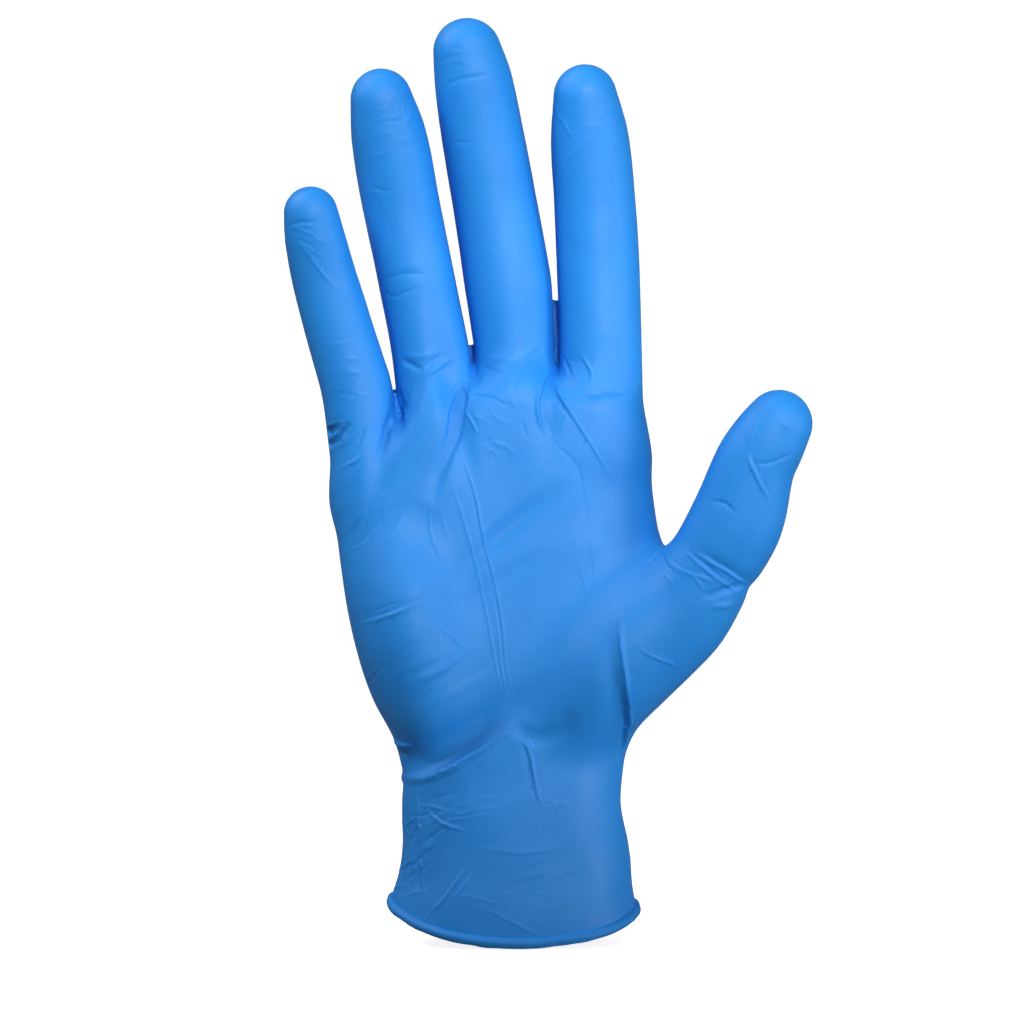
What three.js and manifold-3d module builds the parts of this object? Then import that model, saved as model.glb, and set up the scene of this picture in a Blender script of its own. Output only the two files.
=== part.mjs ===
// Examination glove: one dipped film with a rolled bead round its cuff, filled out as it stands when worn.
// Millimetres. +Z runs from the cuff to the fingertips, +X towards the thumb, and the palm side faces -Y.
// The origin is the centre of the cuff's opening.
import * as THREE from 'three';
import { mergeVertices } from 'three/addons/utils/BufferGeometryUtils.js';
import Module from 'manifold-3d';

// Film and rim
const WALL = 1.0; // the real film is about 0.1
const BEAD_RADIUS = 1.3; // rolled edge of the cuff
const BEAD_STEPS = 52;
const BEAD_SIDES = 8;
const BEAD_OUTSET = 0.3; // the roll stands out from the middle of the wall
const HEM = { rise: 2.5, lean: -0.026, tilt: 0.17, sag: 0.01 }; // lowest at the palm side, then at the back
const COLOUR = 0x2b84dd;

// How softly the forms run into each other: the length over which two of them blend
const BLEND = { fingers: 0.8, knuckles: 6, crown: 9, pads: 9, thumb: 7 };

// Turns a table's rows into objects with a value under each column's name
function table(columns, rows) {
  return rows.map((row) => Object.fromEntries(columns.map((name, i) => [name, row[i]])));
}

// Palm and cuff: at each height the left and right edge, the depth to the palm side and to the back, and
// how square the section is (2 is an ellipse)
const TRUNK = table(
  ['z', 'left', 'right', 'front', 'back', 'square'],
  [
    [-16, -33.0, 33.0, 21.8, 22.2, 2.2],
    [-4, -32.4, 32.4, 21.6, 22.0, 2.2],
    [3, -31.6, 31.4, 20.8, 21.3, 2.2],
    [10, -29.8, 30.2, 19.6, 20.5, 2.2],
    [19, -28.8, 29.2, 18.6, 19.9, 2.2],
    [29, -28.7, 27.7, 17.7, 19.4, 2.2],
    [39, -28.2, 28.8, 16.4, 19.0, 2.2],
    [46, -28.8, 30.0, 15.7, 18.6, 2.2],
    [55, -33.6, 30.5, 15.6, 18.0, 2.3],
    [67, -38.2, 31.0, 15.6, 17.2, 2.4],
    [83, -42.8, 35.5, 14.8, 15.8, 2.5],
    [92, -44.6, 38.6, 14.3, 15.1, 2.5],
    [100, -45.6, 37.0, 13.8, 14.4, 2.6],
    [111, -46.2, 35.6, 13.4, 13.9, 2.6],
    [122, -46.8, 34.9, 13.0, 13.5, 2.6],
    [130, -47.2, 34.6, 12.8, 13.3, 2.6],
    [138, -47.6, 33.2, 12.5, 13.0, 2.6],
    [160, -47.6, 32.4, 12.0, 12.0, 2.6],
  ],
);

// Height at which the palm ends and the stalls go on alone
const CROWN = table(
  ['x', 'z'],
  [
    [-56, 100], [-46, 115], [-38, 123], [-31, 128], [-21, 136], [-11, 141],
    [0, 142], [10, 140], [22, 137], [34, 128], [42, 110],
  ],
);

// Stalls: the middle line and the radius, from root to tip. A stall is a little shallower than it is wide.
const STALL_COLUMNS = ['x', 'y', 'z', 'radius'];
const STALLS = {
  little: {
    shallow: 0.92,
    rows: table(STALL_COLUMNS, [
      [-37.0, 0, 108, 10.0],
      [-38.7, -1.5, 126, 9.4],
      [-40.0, -2, 135, 9.4],
      [-41.6, -2.5, 140, 9.0],
      [-44.6, -3.5, 150, 8.8],
      [-48.3, -6, 163, 8.4],
      [-50.6, -9, 173, 7.8],
      [-51.6, -11, 179.4, 6.9],
    ]),
  },
  ring: {
    shallow: 0.92,
    rows: table(STALL_COLUMNS, [
      [-18.3, 0.5, 120, 10.9],
      [-21.0, 0, 143, 10.3],
      [-24.8, -1, 163, 9.9],
      [-28.9, -3, 183, 9.9],
      [-31.7, -7, 199, 9.6],
      [-33.6, -10.5, 208.6, 7.9],
    ]),
  },
  middle: {
    shallow: 0.92,
    rows: table(STALL_COLUMNS, [
      [0.6, 1.5, 120, 11.2],
      [1.1, 1.5, 145, 11.2],
      [0.4, 1.5, 152, 11.6],
      [-0.2, 1.2, 158, 11.7],
      [-1.4, 1, 163, 11.3],
      [-4.7, 0, 183, 10.8],
      [-7.8, -3, 200, 10.5],
      [-10.1, -6, 213, 10.0],
      [-11.7, -8, 221, 8.7],
    ]),
  },
  index: {
    shallow: 0.92,
    rows: table(STALL_COLUMNS, [
      [22.8, 0, 120, 11.0],
      [22.6, 0, 145, 10.7],
      [21.9, -0.5, 165, 10.7],
      [21.0, -2, 183, 10.5],
      [19.8, -5, 198, 10.1],
      [18.5, -8.5, 209.6, 8.1],
    ]),
  },
  thumb: {
    shallow: 0.95,
    rows: table(STALL_COLUMNS, [
      [19.5, -4, 55, 8.8],
      [29.8, -6.5, 64, 11.6],
      [41.8, -10, 76.3, 12.9],
      [50.8, -13.5, 90, 11.6],
      [56.8, -15.9, 101, 11.9],
      [61.2, -18.7, 115, 10.3],
      [64.4, -20, 121, 9.6],
      [67.2, -21, 125.6, 8.5],
    ]),
  },
};

// Swellings of the palm side: the ball of the thumb and the heel below the little finger. lean is the angle
// in degrees from +Z towards +X.
const PADS = table(
  ['x', 'y', 'z', 'across', 'deep', 'along', 'lean'],
  [
    [26, -6, 66, 14, 17, 26, 35],
    [-25, -3, 70, 13, 17, 30, -12],
  ],
);

// Dents of the palm side, each a smooth hollow whose lean is as above
const DENTS = table(
  ['x', 'z', 'across', 'along', 'depth', 'lean'],
  [
    [0, 96, 15, 30, 1.6, 0], // middle of the palm
    [-12, 47, 5, 18, 1.6, 62], // above the wrist's fold
    [-14, 31, 4.5, 16, 1.0, 75], // below it
    [-15.5, 132, 3, 17, 1.6, -12], // from the web between ring and middle stall down the palm
    [-33.5, 117, 3, 11, 1.2, 8], // below the web of the little stall
    [9, 129, 3, 9, 1.0, 0], // below the web between middle and index stall
    [24.5, 56, 2.6, 18, 1.6, 0], // beside the pinch fold
    [57, 86, 2.4, 11, 1.4, -58], // root of the thumb stall
  ],
);

// Folds of the film, as a line of places on the palm side or on the back. Each stands proud of the film by
// height, most at the share of its length called peak, and runs out to nothing at both ends. width is from
// foot to foot.
const FOLDS = [
  {
    name: 'wrist', side: 'palm', width: 8, height: 3.2, peak: 0.12,
    line: [[-29.2, 35], [-18.5, 37], [-8.4, 41.6], [1.8, 48.5], [9.4, 53.5], [15.7, 58]],
  },
  {
    name: 'wristBack', side: 'back', width: 8, height: 3, peak: 0.04,
    line: [[-29.2, 35], [-20, 33], [-9, 33.5], [2, 36]],
  },
  {
    name: 'heel', side: 'palm', width: 5, height: 1.4, peak: 0.1,
    line: [[-30, 44.5], [-25, 43.5], [-19, 44.5]],
  },
  {
    name: 'pinch', side: 'palm', width: 5.4, height: 2.4, peak: 0.55,
    line: [[27.6, 80], [27.4, 69], [28, 61], [28.3, 53], [27.8, 43], [27.8, 34]],
  },
  {
    name: 'thumbRootUpper', side: 'palm', width: 4.8, height: 1.3, peak: 0.5,
    line: [[45, 94], [52.6, 90], [59, 86]],
  },
  {
    name: 'thumbRootLower', side: 'palm', width: 4.8, height: 1.2, peak: 0.5,
    line: [[41, 89], [47.5, 85.5], [54, 80.5]],
  },
  {
    name: 'indexRoot', side: 'palm', width: 4.8, height: 1.3, peak: 0.3,
    line: [[11.5, 141], [11.6, 133.5], [15.8, 125], [20.8, 118.6], [24.8, 112.2]],
  },
  {
    name: 'ringRoot', side: 'palm', width: 4.8, height: 1.3, peak: 0.3,
    line: [[-11.5, 140], [-12.4, 131], [-15.5, 118], [-17, 106]],
  },
  {
    name: 'littleRoot', side: 'palm', width: 4.8, height: 1.2, peak: 0.4,
    line: [[-46, 121], [-40.5, 126.5], [-36.5, 130.5]],
  },
  {
    name: 'cuffUpright', side: 'palm', width: 4.4, height: 1, peak: 0.5,
    line: [[-23.4, 31], [-23, 20], [-22.6, 9]],
  },
];
const FOLD_STEPS = 12; // straight stretches that a fold's line is taken as
const EDGE_ON_FOLD = 0.55; // longest edge of the net on a fold, as a share of the fold's width

// Lanes of the net, which run up the glove. Each row gives their places at one height, so that one lies in
// every gap between two stalls. acrossStall, below, is the number of lanes from one column to the next.
const LANES = table(
  ['z', 'edge', 'little', 'gapLittle', 'ring', 'gapRing', 'middle', 'gapMiddle', 'index', 'side'],
  [
    [-20, -38, -28, -19, -10, 0, 9, 18, 27, 37],
    [30, -38, -27, -18, -9, 0, 9, 18, 27, 36],
    [90, -50, -38, -28, -18, -8, 2, 12, 24, 38.3],
    [125, -52, -39, -29.8, -19, -10, 0.5, 11.5, 22.6, 37.5],
    [142, -54, -42, -31.6, -21, -10.6, 0.8, 11.8, 22.6, 37],
    [153, -56.5, -45.5, -35.2, -22.8, -11.9, -0.2, 11.7, 22.4, 37],
    [163, -59.6, -48.3, -37.3, -24.8, -13.7, -1.5, 10.6, 21.9, 37],
    [183, -61.5, -51.8, -42.5, -28.9, -17.3, -4.7, 8.2, 21, 36],
    [200, -64, -54, -46, -32, -20.2, -7.8, 6.2, 19.6, 34],
    [236, -66, -58, -50, -38, -26, -13, 2, 16, 33],
  ],
);
const NET = {
  outer: {
    level: 0, folded: true, chord: 0.3, shortest: 1.6, refinements: 3,
    acrossStall: 2, thumbStep: 6, depthStep: 5.6, heightStep: 9,
  },
  inner: {
    level: -WALL, folded: false, chord: 0.6, shortest: 4, refinements: 2,
    acrossStall: 2, thumbStep: 7, depthStep: 6.2, heightStep: 10,
  },
};
const SPAN = { front: -38, back: 32, foot: -13, coarseFoot: -8, top: 238, thumbReach: 84 };
const BELOW_RIM = { reach: 60, foot: -60, step: 6 }; // what is cut away to open the cuff
const MOST_POINTS = 100000;
const LEAST_SLOPE = 0.001; // keeps a division by a slope within bounds
const LEAST_STEEP = 0.1; // the same where a point is moved down the slope

// Value of a smooth curve at a place between rows, with the slope at each row taken from its neighbours
function along(rows, key, name, at) {
  const last = rows.length - 1;
  const place = Math.min(Math.max(at, rows[0][key]), rows[last][key]);
  let i = 0;
  while (i < last - 1 && rows[i + 1][key] < place) i += 1;
  const slope = (k) => {
    const before = rows[Math.max(k - 1, 0)];
    const after = rows[Math.min(k + 1, last)];
    return (after[name] - before[name]) / (after[key] - before[key]);
  };
  const step = rows[i + 1][key] - rows[i][key];
  const t = (place - rows[i][key]) / step;
  return (
    (1 + 2 * t) * (1 - t) ** 2 * rows[i][name] +
    t * (1 - t) ** 2 * step * slope(i) +
    t * t * (3 - 2 * t) * rows[i + 1][name] +
    t * t * (t - 1) * step * slope(i + 1)
  );
}

// Union and intersection of two distances whose edge is rounded over a length
function smoothUnion(a, b, length) {
  const h = Math.max(length - Math.abs(a - b), 0) / length;
  return Math.min(a, b) - (h * h * length) / 4;
}

function smoothIntersection(a, b, length) {
  return -smoothUnion(-a, -b, length);
}

// A stall as a chain of short cones between balls, on the curve through its rows
const CONES_PER_ROW = 4;

function chainOf({ rows, shallow }) {
  let travelled = 0;
  const stations = rows.map((row, i) => {
    if (i > 0) {
      const before = rows[i - 1];
      travelled += Math.hypot(row.x - before.x, row.y - before.y, row.z - before.z);
    }
    return { ...row, travelled };
  });
  const balls = [];
  for (let i = 0; i < stations.length; i += 1) {
    const next = stations[i + 1];
    const cones = next ? CONES_PER_ROW : 1;
    for (let k = 0; k < cones; k += 1) {
      const at = next ? THREE.MathUtils.lerp(stations[i].travelled, next.travelled, k / cones) : travelled;
      const value = (name) => along(stations, 'travelled', name, at);
      balls.push({ x: value('x'), y: value('y') / shallow, z: value('z'), radius: value('radius') });
    }
  }
  return balls;
}

const CHAINS = Object.fromEntries(Object.entries(STALLS).map(([name, stall]) => [name, chainOf(stall)]));

function stallDistance(name, x, y, z) {
  const balls = CHAINS[name];
  const deep = y / STALLS[name].shallow;
  let nearest = Infinity;
  for (let i = 0; i + 1 < balls.length; i += 1) {
    const a = balls[i];
    const b = balls[i + 1];
    const ux = b.x - a.x;
    const uy = b.y - a.y;
    const uz = b.z - a.z;
    const share = ((x - a.x) * ux + (deep - a.y) * uy + (z - a.z) * uz) / (ux * ux + uy * uy + uz * uz);
    const t = Math.min(Math.max(share, 0), 1);
    const away = Math.hypot(x - a.x - t * ux, deep - a.y - t * uy, z - a.z - t * uz);
    nearest = Math.min(nearest, away - a.radius - t * (b.radius - a.radius));
  }
  return nearest;
}

// Palm and cuff without the stalls, ended by the crown
function trunkDistance(x, y, z) {
  const left = along(TRUNK, 'z', 'left', z);
  const right = along(TRUNK, 'z', 'right', z);
  const square = along(TRUNK, 'z', 'square', z);
  const deep = along(TRUNK, 'z', y < 0 ? 'front' : 'back', z);
  const wide = (right - left) / 2;
  const u = Math.abs(x - (left + right) / 2) / wide;
  const v = Math.abs(y) / deep;
  const reach = Math.max((u ** square + v ** square) ** (1 / square), LEAST_SLOPE);
  const slope = reach ** (1 - square) * Math.hypot(u ** (square - 1) / wide, v ** (square - 1) / deep);
  const around = (reach - 1) / Math.max(slope, LEAST_SLOPE);
  return smoothIntersection(around, z - along(CROWN, 'x', 'z', x), BLEND.crown);
}

// Places across and up the leaning axes of a swelling or dent, as shares of its size
function leaningPlace(row, x, z) {
  const lean = THREE.MathUtils.degToRad(row.lean);
  const dx = x - row.x;
  const dz = z - row.z;
  return {
    across: (dx * Math.cos(lean) - dz * Math.sin(lean)) / row.across,
    up: (dx * Math.sin(lean) + dz * Math.cos(lean)) / row.along,
  };
}

function padDistance(pad, x, y, z) {
  const { across, up } = leaningPlace(pad, x, z);
  const deep = (y - pad.y) / pad.deep;
  const reach = Math.hypot(across, deep, up);
  const slope = Math.hypot(across / pad.across, deep / pad.deep, up / pad.along);
  return (reach * (reach - 1)) / Math.max(slope, LEAST_SLOPE * LEAST_STEEP);
}

// How far the dents push the palm side in: wholly in front of one depth, and not at all behind the other
const DENT_FADE = { whole: -6, gone: -1 };

function dentDepth(x, y, z) {
  if (y > DENT_FADE.gone) return 0;
  const share = Math.min((DENT_FADE.gone - y) / (DENT_FADE.gone - DENT_FADE.whole), 1);
  let depth = 0;
  for (const dent of DENTS) {
    const { across, up } = leaningPlace(dent, x, z);
    depth += dent.depth * Math.exp(-across * across - up * up);
  }
  return depth * share;
}

// Distance from the outer face of the film, below zero inside
function gloveDistance(x, y, z) {
  let palm = trunkDistance(x, y, z);
  for (const pad of PADS) palm = smoothUnion(palm, padDistance(pad, x, y, z), BLEND.pads);
  let fingers = Infinity;
  for (const name of ['little', 'ring', 'middle', 'index']) {
    fingers = smoothUnion(stallDistance(name, x, y, z), fingers, BLEND.fingers);
  }
  const hand = smoothUnion(palm, fingers, BLEND.knuckles);
  return smoothUnion(hand, stallDistance('thumb', x, y, z), BLEND.thumb) + dentDepth(x, y, z);
}

// Places from one value to another in steps no longer than the one given
function ticks(from, to, step) {
  const count = Math.ceil((to - from) / step);
  return Array.from({ length: count + 1 }, (_, i) => from + ((to - from) * i) / count);
}

// The net's lanes at one height: those of the table, with more between them, and then on over the thumb
// stall
function lanesAt(z, net) {
  const names = Object.keys(LANES[0]).filter((name) => name !== 'z');
  const main = names.map((name) => along(LANES, 'z', name, z));
  const side = main.at(-1);
  const overThumb = Math.ceil((SPAN.thumbReach - LANES[0].side) / net.thumbStep);
  const lanes = [];
  for (let i = 0; i + 1 < main.length; i += 1) {
    for (let k = 0; k < net.acrossStall; k += 1) {
      lanes.push(THREE.MathUtils.lerp(main[i], main[i + 1], k / net.acrossStall));
    }
  }
  for (let k = 0; k <= overThumb; k += 1) {
    lanes.push(THREE.MathUtils.lerp(side, SPAN.thumbReach, k / overThumb));
  }
  return lanes;
}

// How the distance grows along X, Y and Z
const PROBE = 0.05;

function slopeAt(x, y, z) {
  return [
    (gloveDistance(x + PROBE, y, z) - gloveDistance(x - PROBE, y, z)) / (2 * PROBE),
    (gloveDistance(x, y + PROBE, z) - gloveDistance(x, y - PROBE, z)) / (2 * PROBE),
    (gloveDistance(x, y, z + PROBE) - gloveDistance(x, y, z - PROBE)) / (2 * PROBE),
  ];
}

function outwardAt(x, y, z) {
  return new THREE.Vector3(...slopeAt(x, y, z)).normalize();
}

// Moves a point onto the face of the given level, in a few turns of at most LONGEST_MOVE each
const SETTLE_TURNS = 3;
const LONGEST_MOVE = 2.5;

function settle(point, level) {
  let spot = point;
  for (let turn = 0; turn < SETTLE_TURNS; turn += 1) {
    const slope = slopeAt(...spot);
    const steep = Math.max(Math.hypot(...slope), LEAST_STEEP);
    const move = (gloveDistance(...spot) - level) / steep;
    const held = THREE.MathUtils.clamp(move, -LONGEST_MOVE, LONGEST_MOVE);
    spot = spot.map((value, i) => value - (slope[i] / steep) * held);
  }
  return spot;
}

// A grid over the whole glove, whose lanes bend with the stalls, and the distance at each of its nodes
function gridOf(net) {
  const heights = ticks(SPAN.foot, SPAN.top, net.heightStep);
  const depths = ticks(SPAN.front, SPAN.back, net.depthStep);
  const lanes = heights.map((z) => lanesAt(z, net));
  const size = [lanes[0].length, depths.length, heights.length];
  const key = ([i, j, k]) => (i * size[1] + j) * size[2] + k;
  const place = ([i, j, k]) => [lanes[k][i], depths[j], heights[k]];
  const nodes = [];
  for (let i = 0; i < size[0]; i += 1) {
    for (let j = 0; j < size[1]; j += 1) {
      for (let k = 0; k < size[2]; k += 1) nodes.push([i, j, k]);
    }
  }
  const values = nodes.map((node) => {
    const ending = node[2] === 0 || node[2] === size[2] - 1;
    return ending ? 1 : gloveDistance(...place(node)) - net.level;
  });
  const within = (node) => node.every((value, axis) => value < size[axis]);
  return { nodes, values, key, place, within, lowest: heights[1] };
}

// Where the face crosses the grid's lines: the place, and the keys of the four boxes round the line, in
// order as seen from outside the glove
const AXES = [[1, 0, 0], [0, 1, 0], [0, 0, 1]];
const ROUND_A_LINE = [[0, 0], [1, 0], [1, 1], [0, 1]];

function crossingsOf({ nodes, values, key, place, within }) {
  const crossings = [];
  for (const node of nodes) {
    AXES.forEach((step, axis) => {
      const next = node.map((value, n) => value + step[n]);
      if (!within(next)) return;
      const here = values[key(node)];
      const there = values[key(next)];
      if (here < 0 === there < 0) return;
      const t = here / (here - there);
      const end = place(next);
      const spot = place(node).map((value, n) => value + t * (end[n] - value));
      const side = AXES[(axis + 1) % 3];
      const rise = AXES[(axis + 2) % 3];
      const boxAt = ([s, r]) => node.map((value, n) => value - s * side[n] - r * rise[n]);
      const around = ROUND_A_LINE.map((corner) => key(boxAt(corner)));
      crossings.push({ spot, around: here < 0 ? around : around.reverse() });
    });
  }
  return crossings;
}

// A closed net over the face of one level. Each box of the grid that the face passes through holds one
// point, and four points round each grid line that it crosses make two triangles.
function netOf(net) {
  const grid = gridOf(net);
  const crossings = crossingsOf(grid);
  const boxes = new Map();
  for (const { spot, around } of crossings) {
    for (const key of around) {
      const box = boxes.get(key) ?? { sum: [0, 0, 0], count: 0 };
      box.sum = box.sum.map((value, n) => value + spot[n]);
      box.count += 1;
      boxes.set(key, box);
    }
  }
  const points = [];
  for (const box of boxes.values()) {
    box.index = points.length;
    const middle = box.sum.map((value) => value / box.count);
    points.push(middle[2] < grid.lowest ? middle : settle(middle, net.level));
  }
  const quads = crossings.map(({ around }) => around.map((key) => boxes.get(key).index));
  return { points, triangles: halved(quads, points) };
}

// Four-sided faces as triangles, split along the shorter diagonal, unless those two points have an edge
// already
function halved(quads, points) {
  const apart = (a, b) => new THREE.Vector3(...points[a]).distanceTo(new THREE.Vector3(...points[b]));
  const pair = (a, b) => Math.min(a, b) * points.length + Math.max(a, b);
  const edges = new Set(quads.flatMap((quad) => quad.map((a, i) => pair(a, quad[(i + 1) % 4]))));
  const triangles = [];
  for (const [a, b, c, d] of quads) {
    const first = edges.has(pair(b, d)) || (apart(a, c) < apart(b, d) && !edges.has(pair(a, c)));
    edges.add(first ? pair(a, c) : pair(b, d));
    if (first) triangles.push([a, b, c], [a, c, d]);
    else triangles.push([a, b, d], [b, c, d]);
  }
  return triangles;
}

// How far one can go from inside the glove before leaving a level, where placeAt gives the place for each
// distance
const BISECTIONS = 22;

function reachWithin(level, farthest, placeAt) {
  let inside = 0;
  let outside = farthest;
  for (let turn = 0; turn < BISECTIONS; turn += 1) {
    const reach = (inside + outside) / 2;
    if (gloveDistance(...placeAt(reach)) < level) inside = reach;
    else outside = reach;
  }
  return inside;
}

// The line of a fold, laid on the film
function lineOnFilm({ side, line }) {
  const farthest = side === 'palm' ? SPAN.front : SPAN.back;
  const curve = new THREE.CatmullRomCurve3(line.map(([x, z]) => new THREE.Vector3(x, 0, z)));
  return curve.getSpacedPoints(FOLD_STEPS).map(({ x, z }) => {
    const y = reachWithin(0, farthest, (reach) => [x, reach, z]);
    return new THREE.Vector3(x, y, z);
  });
}

const FOLD_LINES = FOLDS.map((fold) => ({ ...fold, spots: lineOnFilm(fold) }));

// Nearest place on a fold's line: how far away it is, and the share of the line's length before it
function nearestOnFold({ spots }, point) {
  const nearest = { away: Infinity, share: 0 };
  const stretch = new THREE.Line3();
  const spot = new THREE.Vector3();
  for (let i = 0; i + 1 < spots.length; i += 1) {
    stretch.set(spots[i], spots[i + 1]);
    const t = stretch.closestPointToPointParameter(point, true);
    const away = stretch.at(t, spot).distanceTo(point);
    if (away < nearest.away) Object.assign(nearest, { away, share: (i + t) / (spots.length - 1) });
  }
  return nearest;
}

// A point of the net on its own face: the outer one is lifted by the folds, along the film's outward
// direction
function laidOn(net, base) {
  const lift = net.folded ? foldLift(base) : 0;
  return lift === 0 ? base : base.clone().addScaledVector(outwardAt(base.x, base.y, base.z), lift);
}

// How far the folds lift a point of the film
function foldLift(point) {
  let lift = 0;
  for (const fold of FOLD_LINES) {
    const { away, share } = nearestOnFold(fold, point);
    const across = (2 * away) / fold.width;
    if (across >= 1) continue;
    const grown = share < fold.peak ? share / fold.peak : (1 - share) / (1 - fold.peak);
    lift = Math.max(lift, fold.height * (1 - across * across) ** 2 * Math.sin((grown * Math.PI) / 2));
  }
  return lift;
}

// Whether an edge is too long for a fold that its middle lies on
function longOnFold(middle, long) {
  return FOLD_LINES.some((fold) => {
    const coarse = long > fold.width * EDGE_ON_FOLD;
    return coarse && nearestOnFold(fold, middle).away < fold.width / 2;
  });
}

// A net laid on its face and refined where it is too coarse for the form: an edge is halved where its
// middle lies further than chord from the face, or where it is long for a fold that it lies on, unless it
// is shorter than shortest. Each turn may halve every edge once.
const UNCUT = -1;

function refined(net, { points, triangles }) {
  const bases = points.map((point) => new THREE.Vector3(...point));
  const laid = bases.map((base) => laidOn(net, base));
  let faces = triangles;
  for (let turn = 0; turn < net.refinements; turn += 1) {
    const halves = new Map();
    // The number of the point that halves an edge, or UNCUT
    const halfOf = (a, b) => {
      const key = Math.min(a, b) * MOST_POINTS + Math.max(a, b);
      if (halves.has(key)) return halves.get(key);
      halves.set(key, UNCUT);
      const middle = bases[a].clone().add(bases[b]).multiplyScalar(0.5);
      const long = laid[a].distanceTo(laid[b]);
      if (long <= net.shortest || middle.z <= SPAN.coarseFoot) return UNCUT;
      const base = new THREE.Vector3(...settle(middle.toArray(), net.level));
      const spot = laidOn(net, base);
      const chord = laid[a].clone().add(laid[b]).multiplyScalar(0.5);
      if (spot.distanceTo(chord) <= net.chord && !(net.folded && longOnFold(base, long))) return UNCUT;
      halves.set(key, laid.length);
      bases.push(base);
      laid.push(spot);
      return halves.get(key);
    };
    faces = faces.flatMap((face) => {
      const cuts = face.map((a, i) => halfOf(a, face[(i + 1) % 3]));
      const count = cuts.filter((cut) => cut !== UNCUT).length;
      if (count === 0) return [face];
      if (count === 3) {
        const [a, b, c] = face;
        const [ab, bc, ca] = cuts;
        return [[a, ab, ca], [ab, b, bc], [ca, bc, c], [ab, bc, ca]];
      }
      // Turned so that the first edge is cut, and the second where two are
      const onlyCut = cuts.findIndex((cut) => cut !== UNCUT);
      const afterUncut = (cuts.indexOf(UNCUT) + 1) % 3;
      const first = count === 1 ? onlyCut : afterUncut;
      const [a, b, c] = [0, 1, 2].map((i) => face[(first + i) % 3]);
      const [ab, bc] = [0, 1].map((i) => cuts[(first + i) % 3]);
      if (count === 1) return [[a, ab, c], [ab, b, c]];
      return [[ab, b, bc], [a, ab, bc], [a, bc, c]];
    });
  }
  return { points: laid.map((spot) => spot.toArray()), triangles: faces };
}

// A closed tube through rings of points whose last ring joins the first
function ringTubeOf(rings) {
  const sides = rings[0].length;
  const triangles = [];
  for (let i = 0; i < rings.length; i += 1) {
    const here = i * sides;
    const next = ((i + 1) % rings.length) * sides;
    for (let k = 0; k < sides; k += 1) {
      const turn = (k + 1) % sides;
      triangles.push([here + k, next + k, next + turn], [here + k, next + turn, here + turn]);
    }
  }
  return { points: rings.flat(), triangles };
}

// Height of the rim over a point of the ground plane
function hemHeight(x, y) {
  return HEM.rise + HEM.lean * x + HEM.tilt * y - HEM.sag * y * y;
}

// Rolled bead along the rim
function beadOf() {
  const rings = Array.from({ length: BEAD_STEPS }, (_, i) => {
    const angle = (2 * Math.PI * i) / BEAD_STEPS;
    const onRim = (reach) => {
      const [x, y] = [reach * Math.cos(angle), reach * Math.sin(angle)];
      return [x, y, hemHeight(x, y)];
    };
    const reach = reachWithin(-WALL / 2, BELOW_RIM.reach, onRim) + BEAD_OUTSET;
    const height = onRim(reach)[2];
    return Array.from({ length: BEAD_SIDES }, (_, k) => {
      const turn = (2 * Math.PI * k) / BEAD_SIDES;
      const radius = reach + BEAD_RADIUS * Math.cos(turn);
      return [radius * Math.cos(angle), radius * Math.sin(angle), height + BEAD_RADIUS * Math.sin(turn)];
    });
  });
  return ringTubeOf(rings);
}

// Everything below the rim, cut away to open the cuff: a block whose upper face is the rim's surface
function belowHem() {
  const { reach, foot, step } = BELOW_RIM;
  const outline = new THREE.Shape();
  outline.moveTo(-reach, foot);
  for (const y of ticks(-reach, reach, step)) outline.lineTo(y, hemHeight(0, y));
  outline.lineTo(reach, foot);
  const block = new THREE.ExtrudeGeometry(outline, { depth: 2 * reach, bevelEnabled: false });
  block.translate(0, 0, -reach);
  // The outline's two axes become Y and Z, and its depth, which leans with the rim, runs along X
  block.applyMatrix4(new THREE.Matrix4().makeBasis(
    new THREE.Vector3(0, 1, 0),
    new THREE.Vector3(0, 0, 1),
    new THREE.Vector3(1, 0, HEM.lean),
  ));
  return block;
}

const wasm = await Module();
wasm.setup();

function solidOf({ points, triangles }) {
  const vertProperties = new Float32Array(points.flat());
  const triVerts = new Uint32Array(triangles.flat());
  return new wasm.Manifold(new wasm.Mesh({ numProp: 3, vertProperties, triVerts }));
}

const SAME_PLACE = 0.0001;

function solidOfGeometry(geometry) {
  geometry.deleteAttribute('normal');
  geometry.deleteAttribute('uv');
  const merged = mergeVertices(geometry, SAME_PLACE);
  const vertProperties = new Float32Array(merged.attributes.position.array);
  const triVerts = new Uint32Array(merged.index.array);
  return new wasm.Manifold(new wasm.Mesh({ numProp: 3, vertProperties, triVerts }));
}

// A solid's faces, with the two ends of every edge shorter than SHORTEST_EDGE joined
const SHORTEST_EDGE = 0.05;

function geometryOf(solid) {
  const { vertProperties, triVerts } = solid.getMesh();
  const spot = (a) => new THREE.Vector3().fromArray(vertProperties, 3 * a);
  const joined = Array.from({ length: vertProperties.length / 3 }, (_, a) => a);
  const find = (a) => (joined[a] === a ? a : find(joined[a]));
  const faces = [];
  for (let i = 0; i < triVerts.length; i += 3) faces.push(Array.from(triVerts.slice(i, i + 3)));
  for (const face of faces) {
    face.forEach((a, i) => {
      const b = face[(i + 1) % 3];
      if (spot(a).distanceTo(spot(b)) < SHORTEST_EDGE) joined[find(a)] = find(b);
    });
  }
  const whole = faces.map((face) => face.map(find)).filter(([a, b, c]) => a !== b && b !== c && c !== a);
  // Two faces left back to back between the same three points go too
  const key = (face) => face.toSorted((a, b) => a - b).join(' ');
  const count = new Map();
  for (const face of whole) count.set(key(face), (count.get(key(face)) ?? 0) + 1);
  const kept = whole.filter((face) => count.get(key(face)) === 1);
  const geometry = new THREE.BufferGeometry();
  geometry.setAttribute('position', new THREE.BufferAttribute(vertProperties, 3));
  geometry.setIndex(kept.flat());
  geometry.computeVertexNormals();
  return geometry;
}

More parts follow.
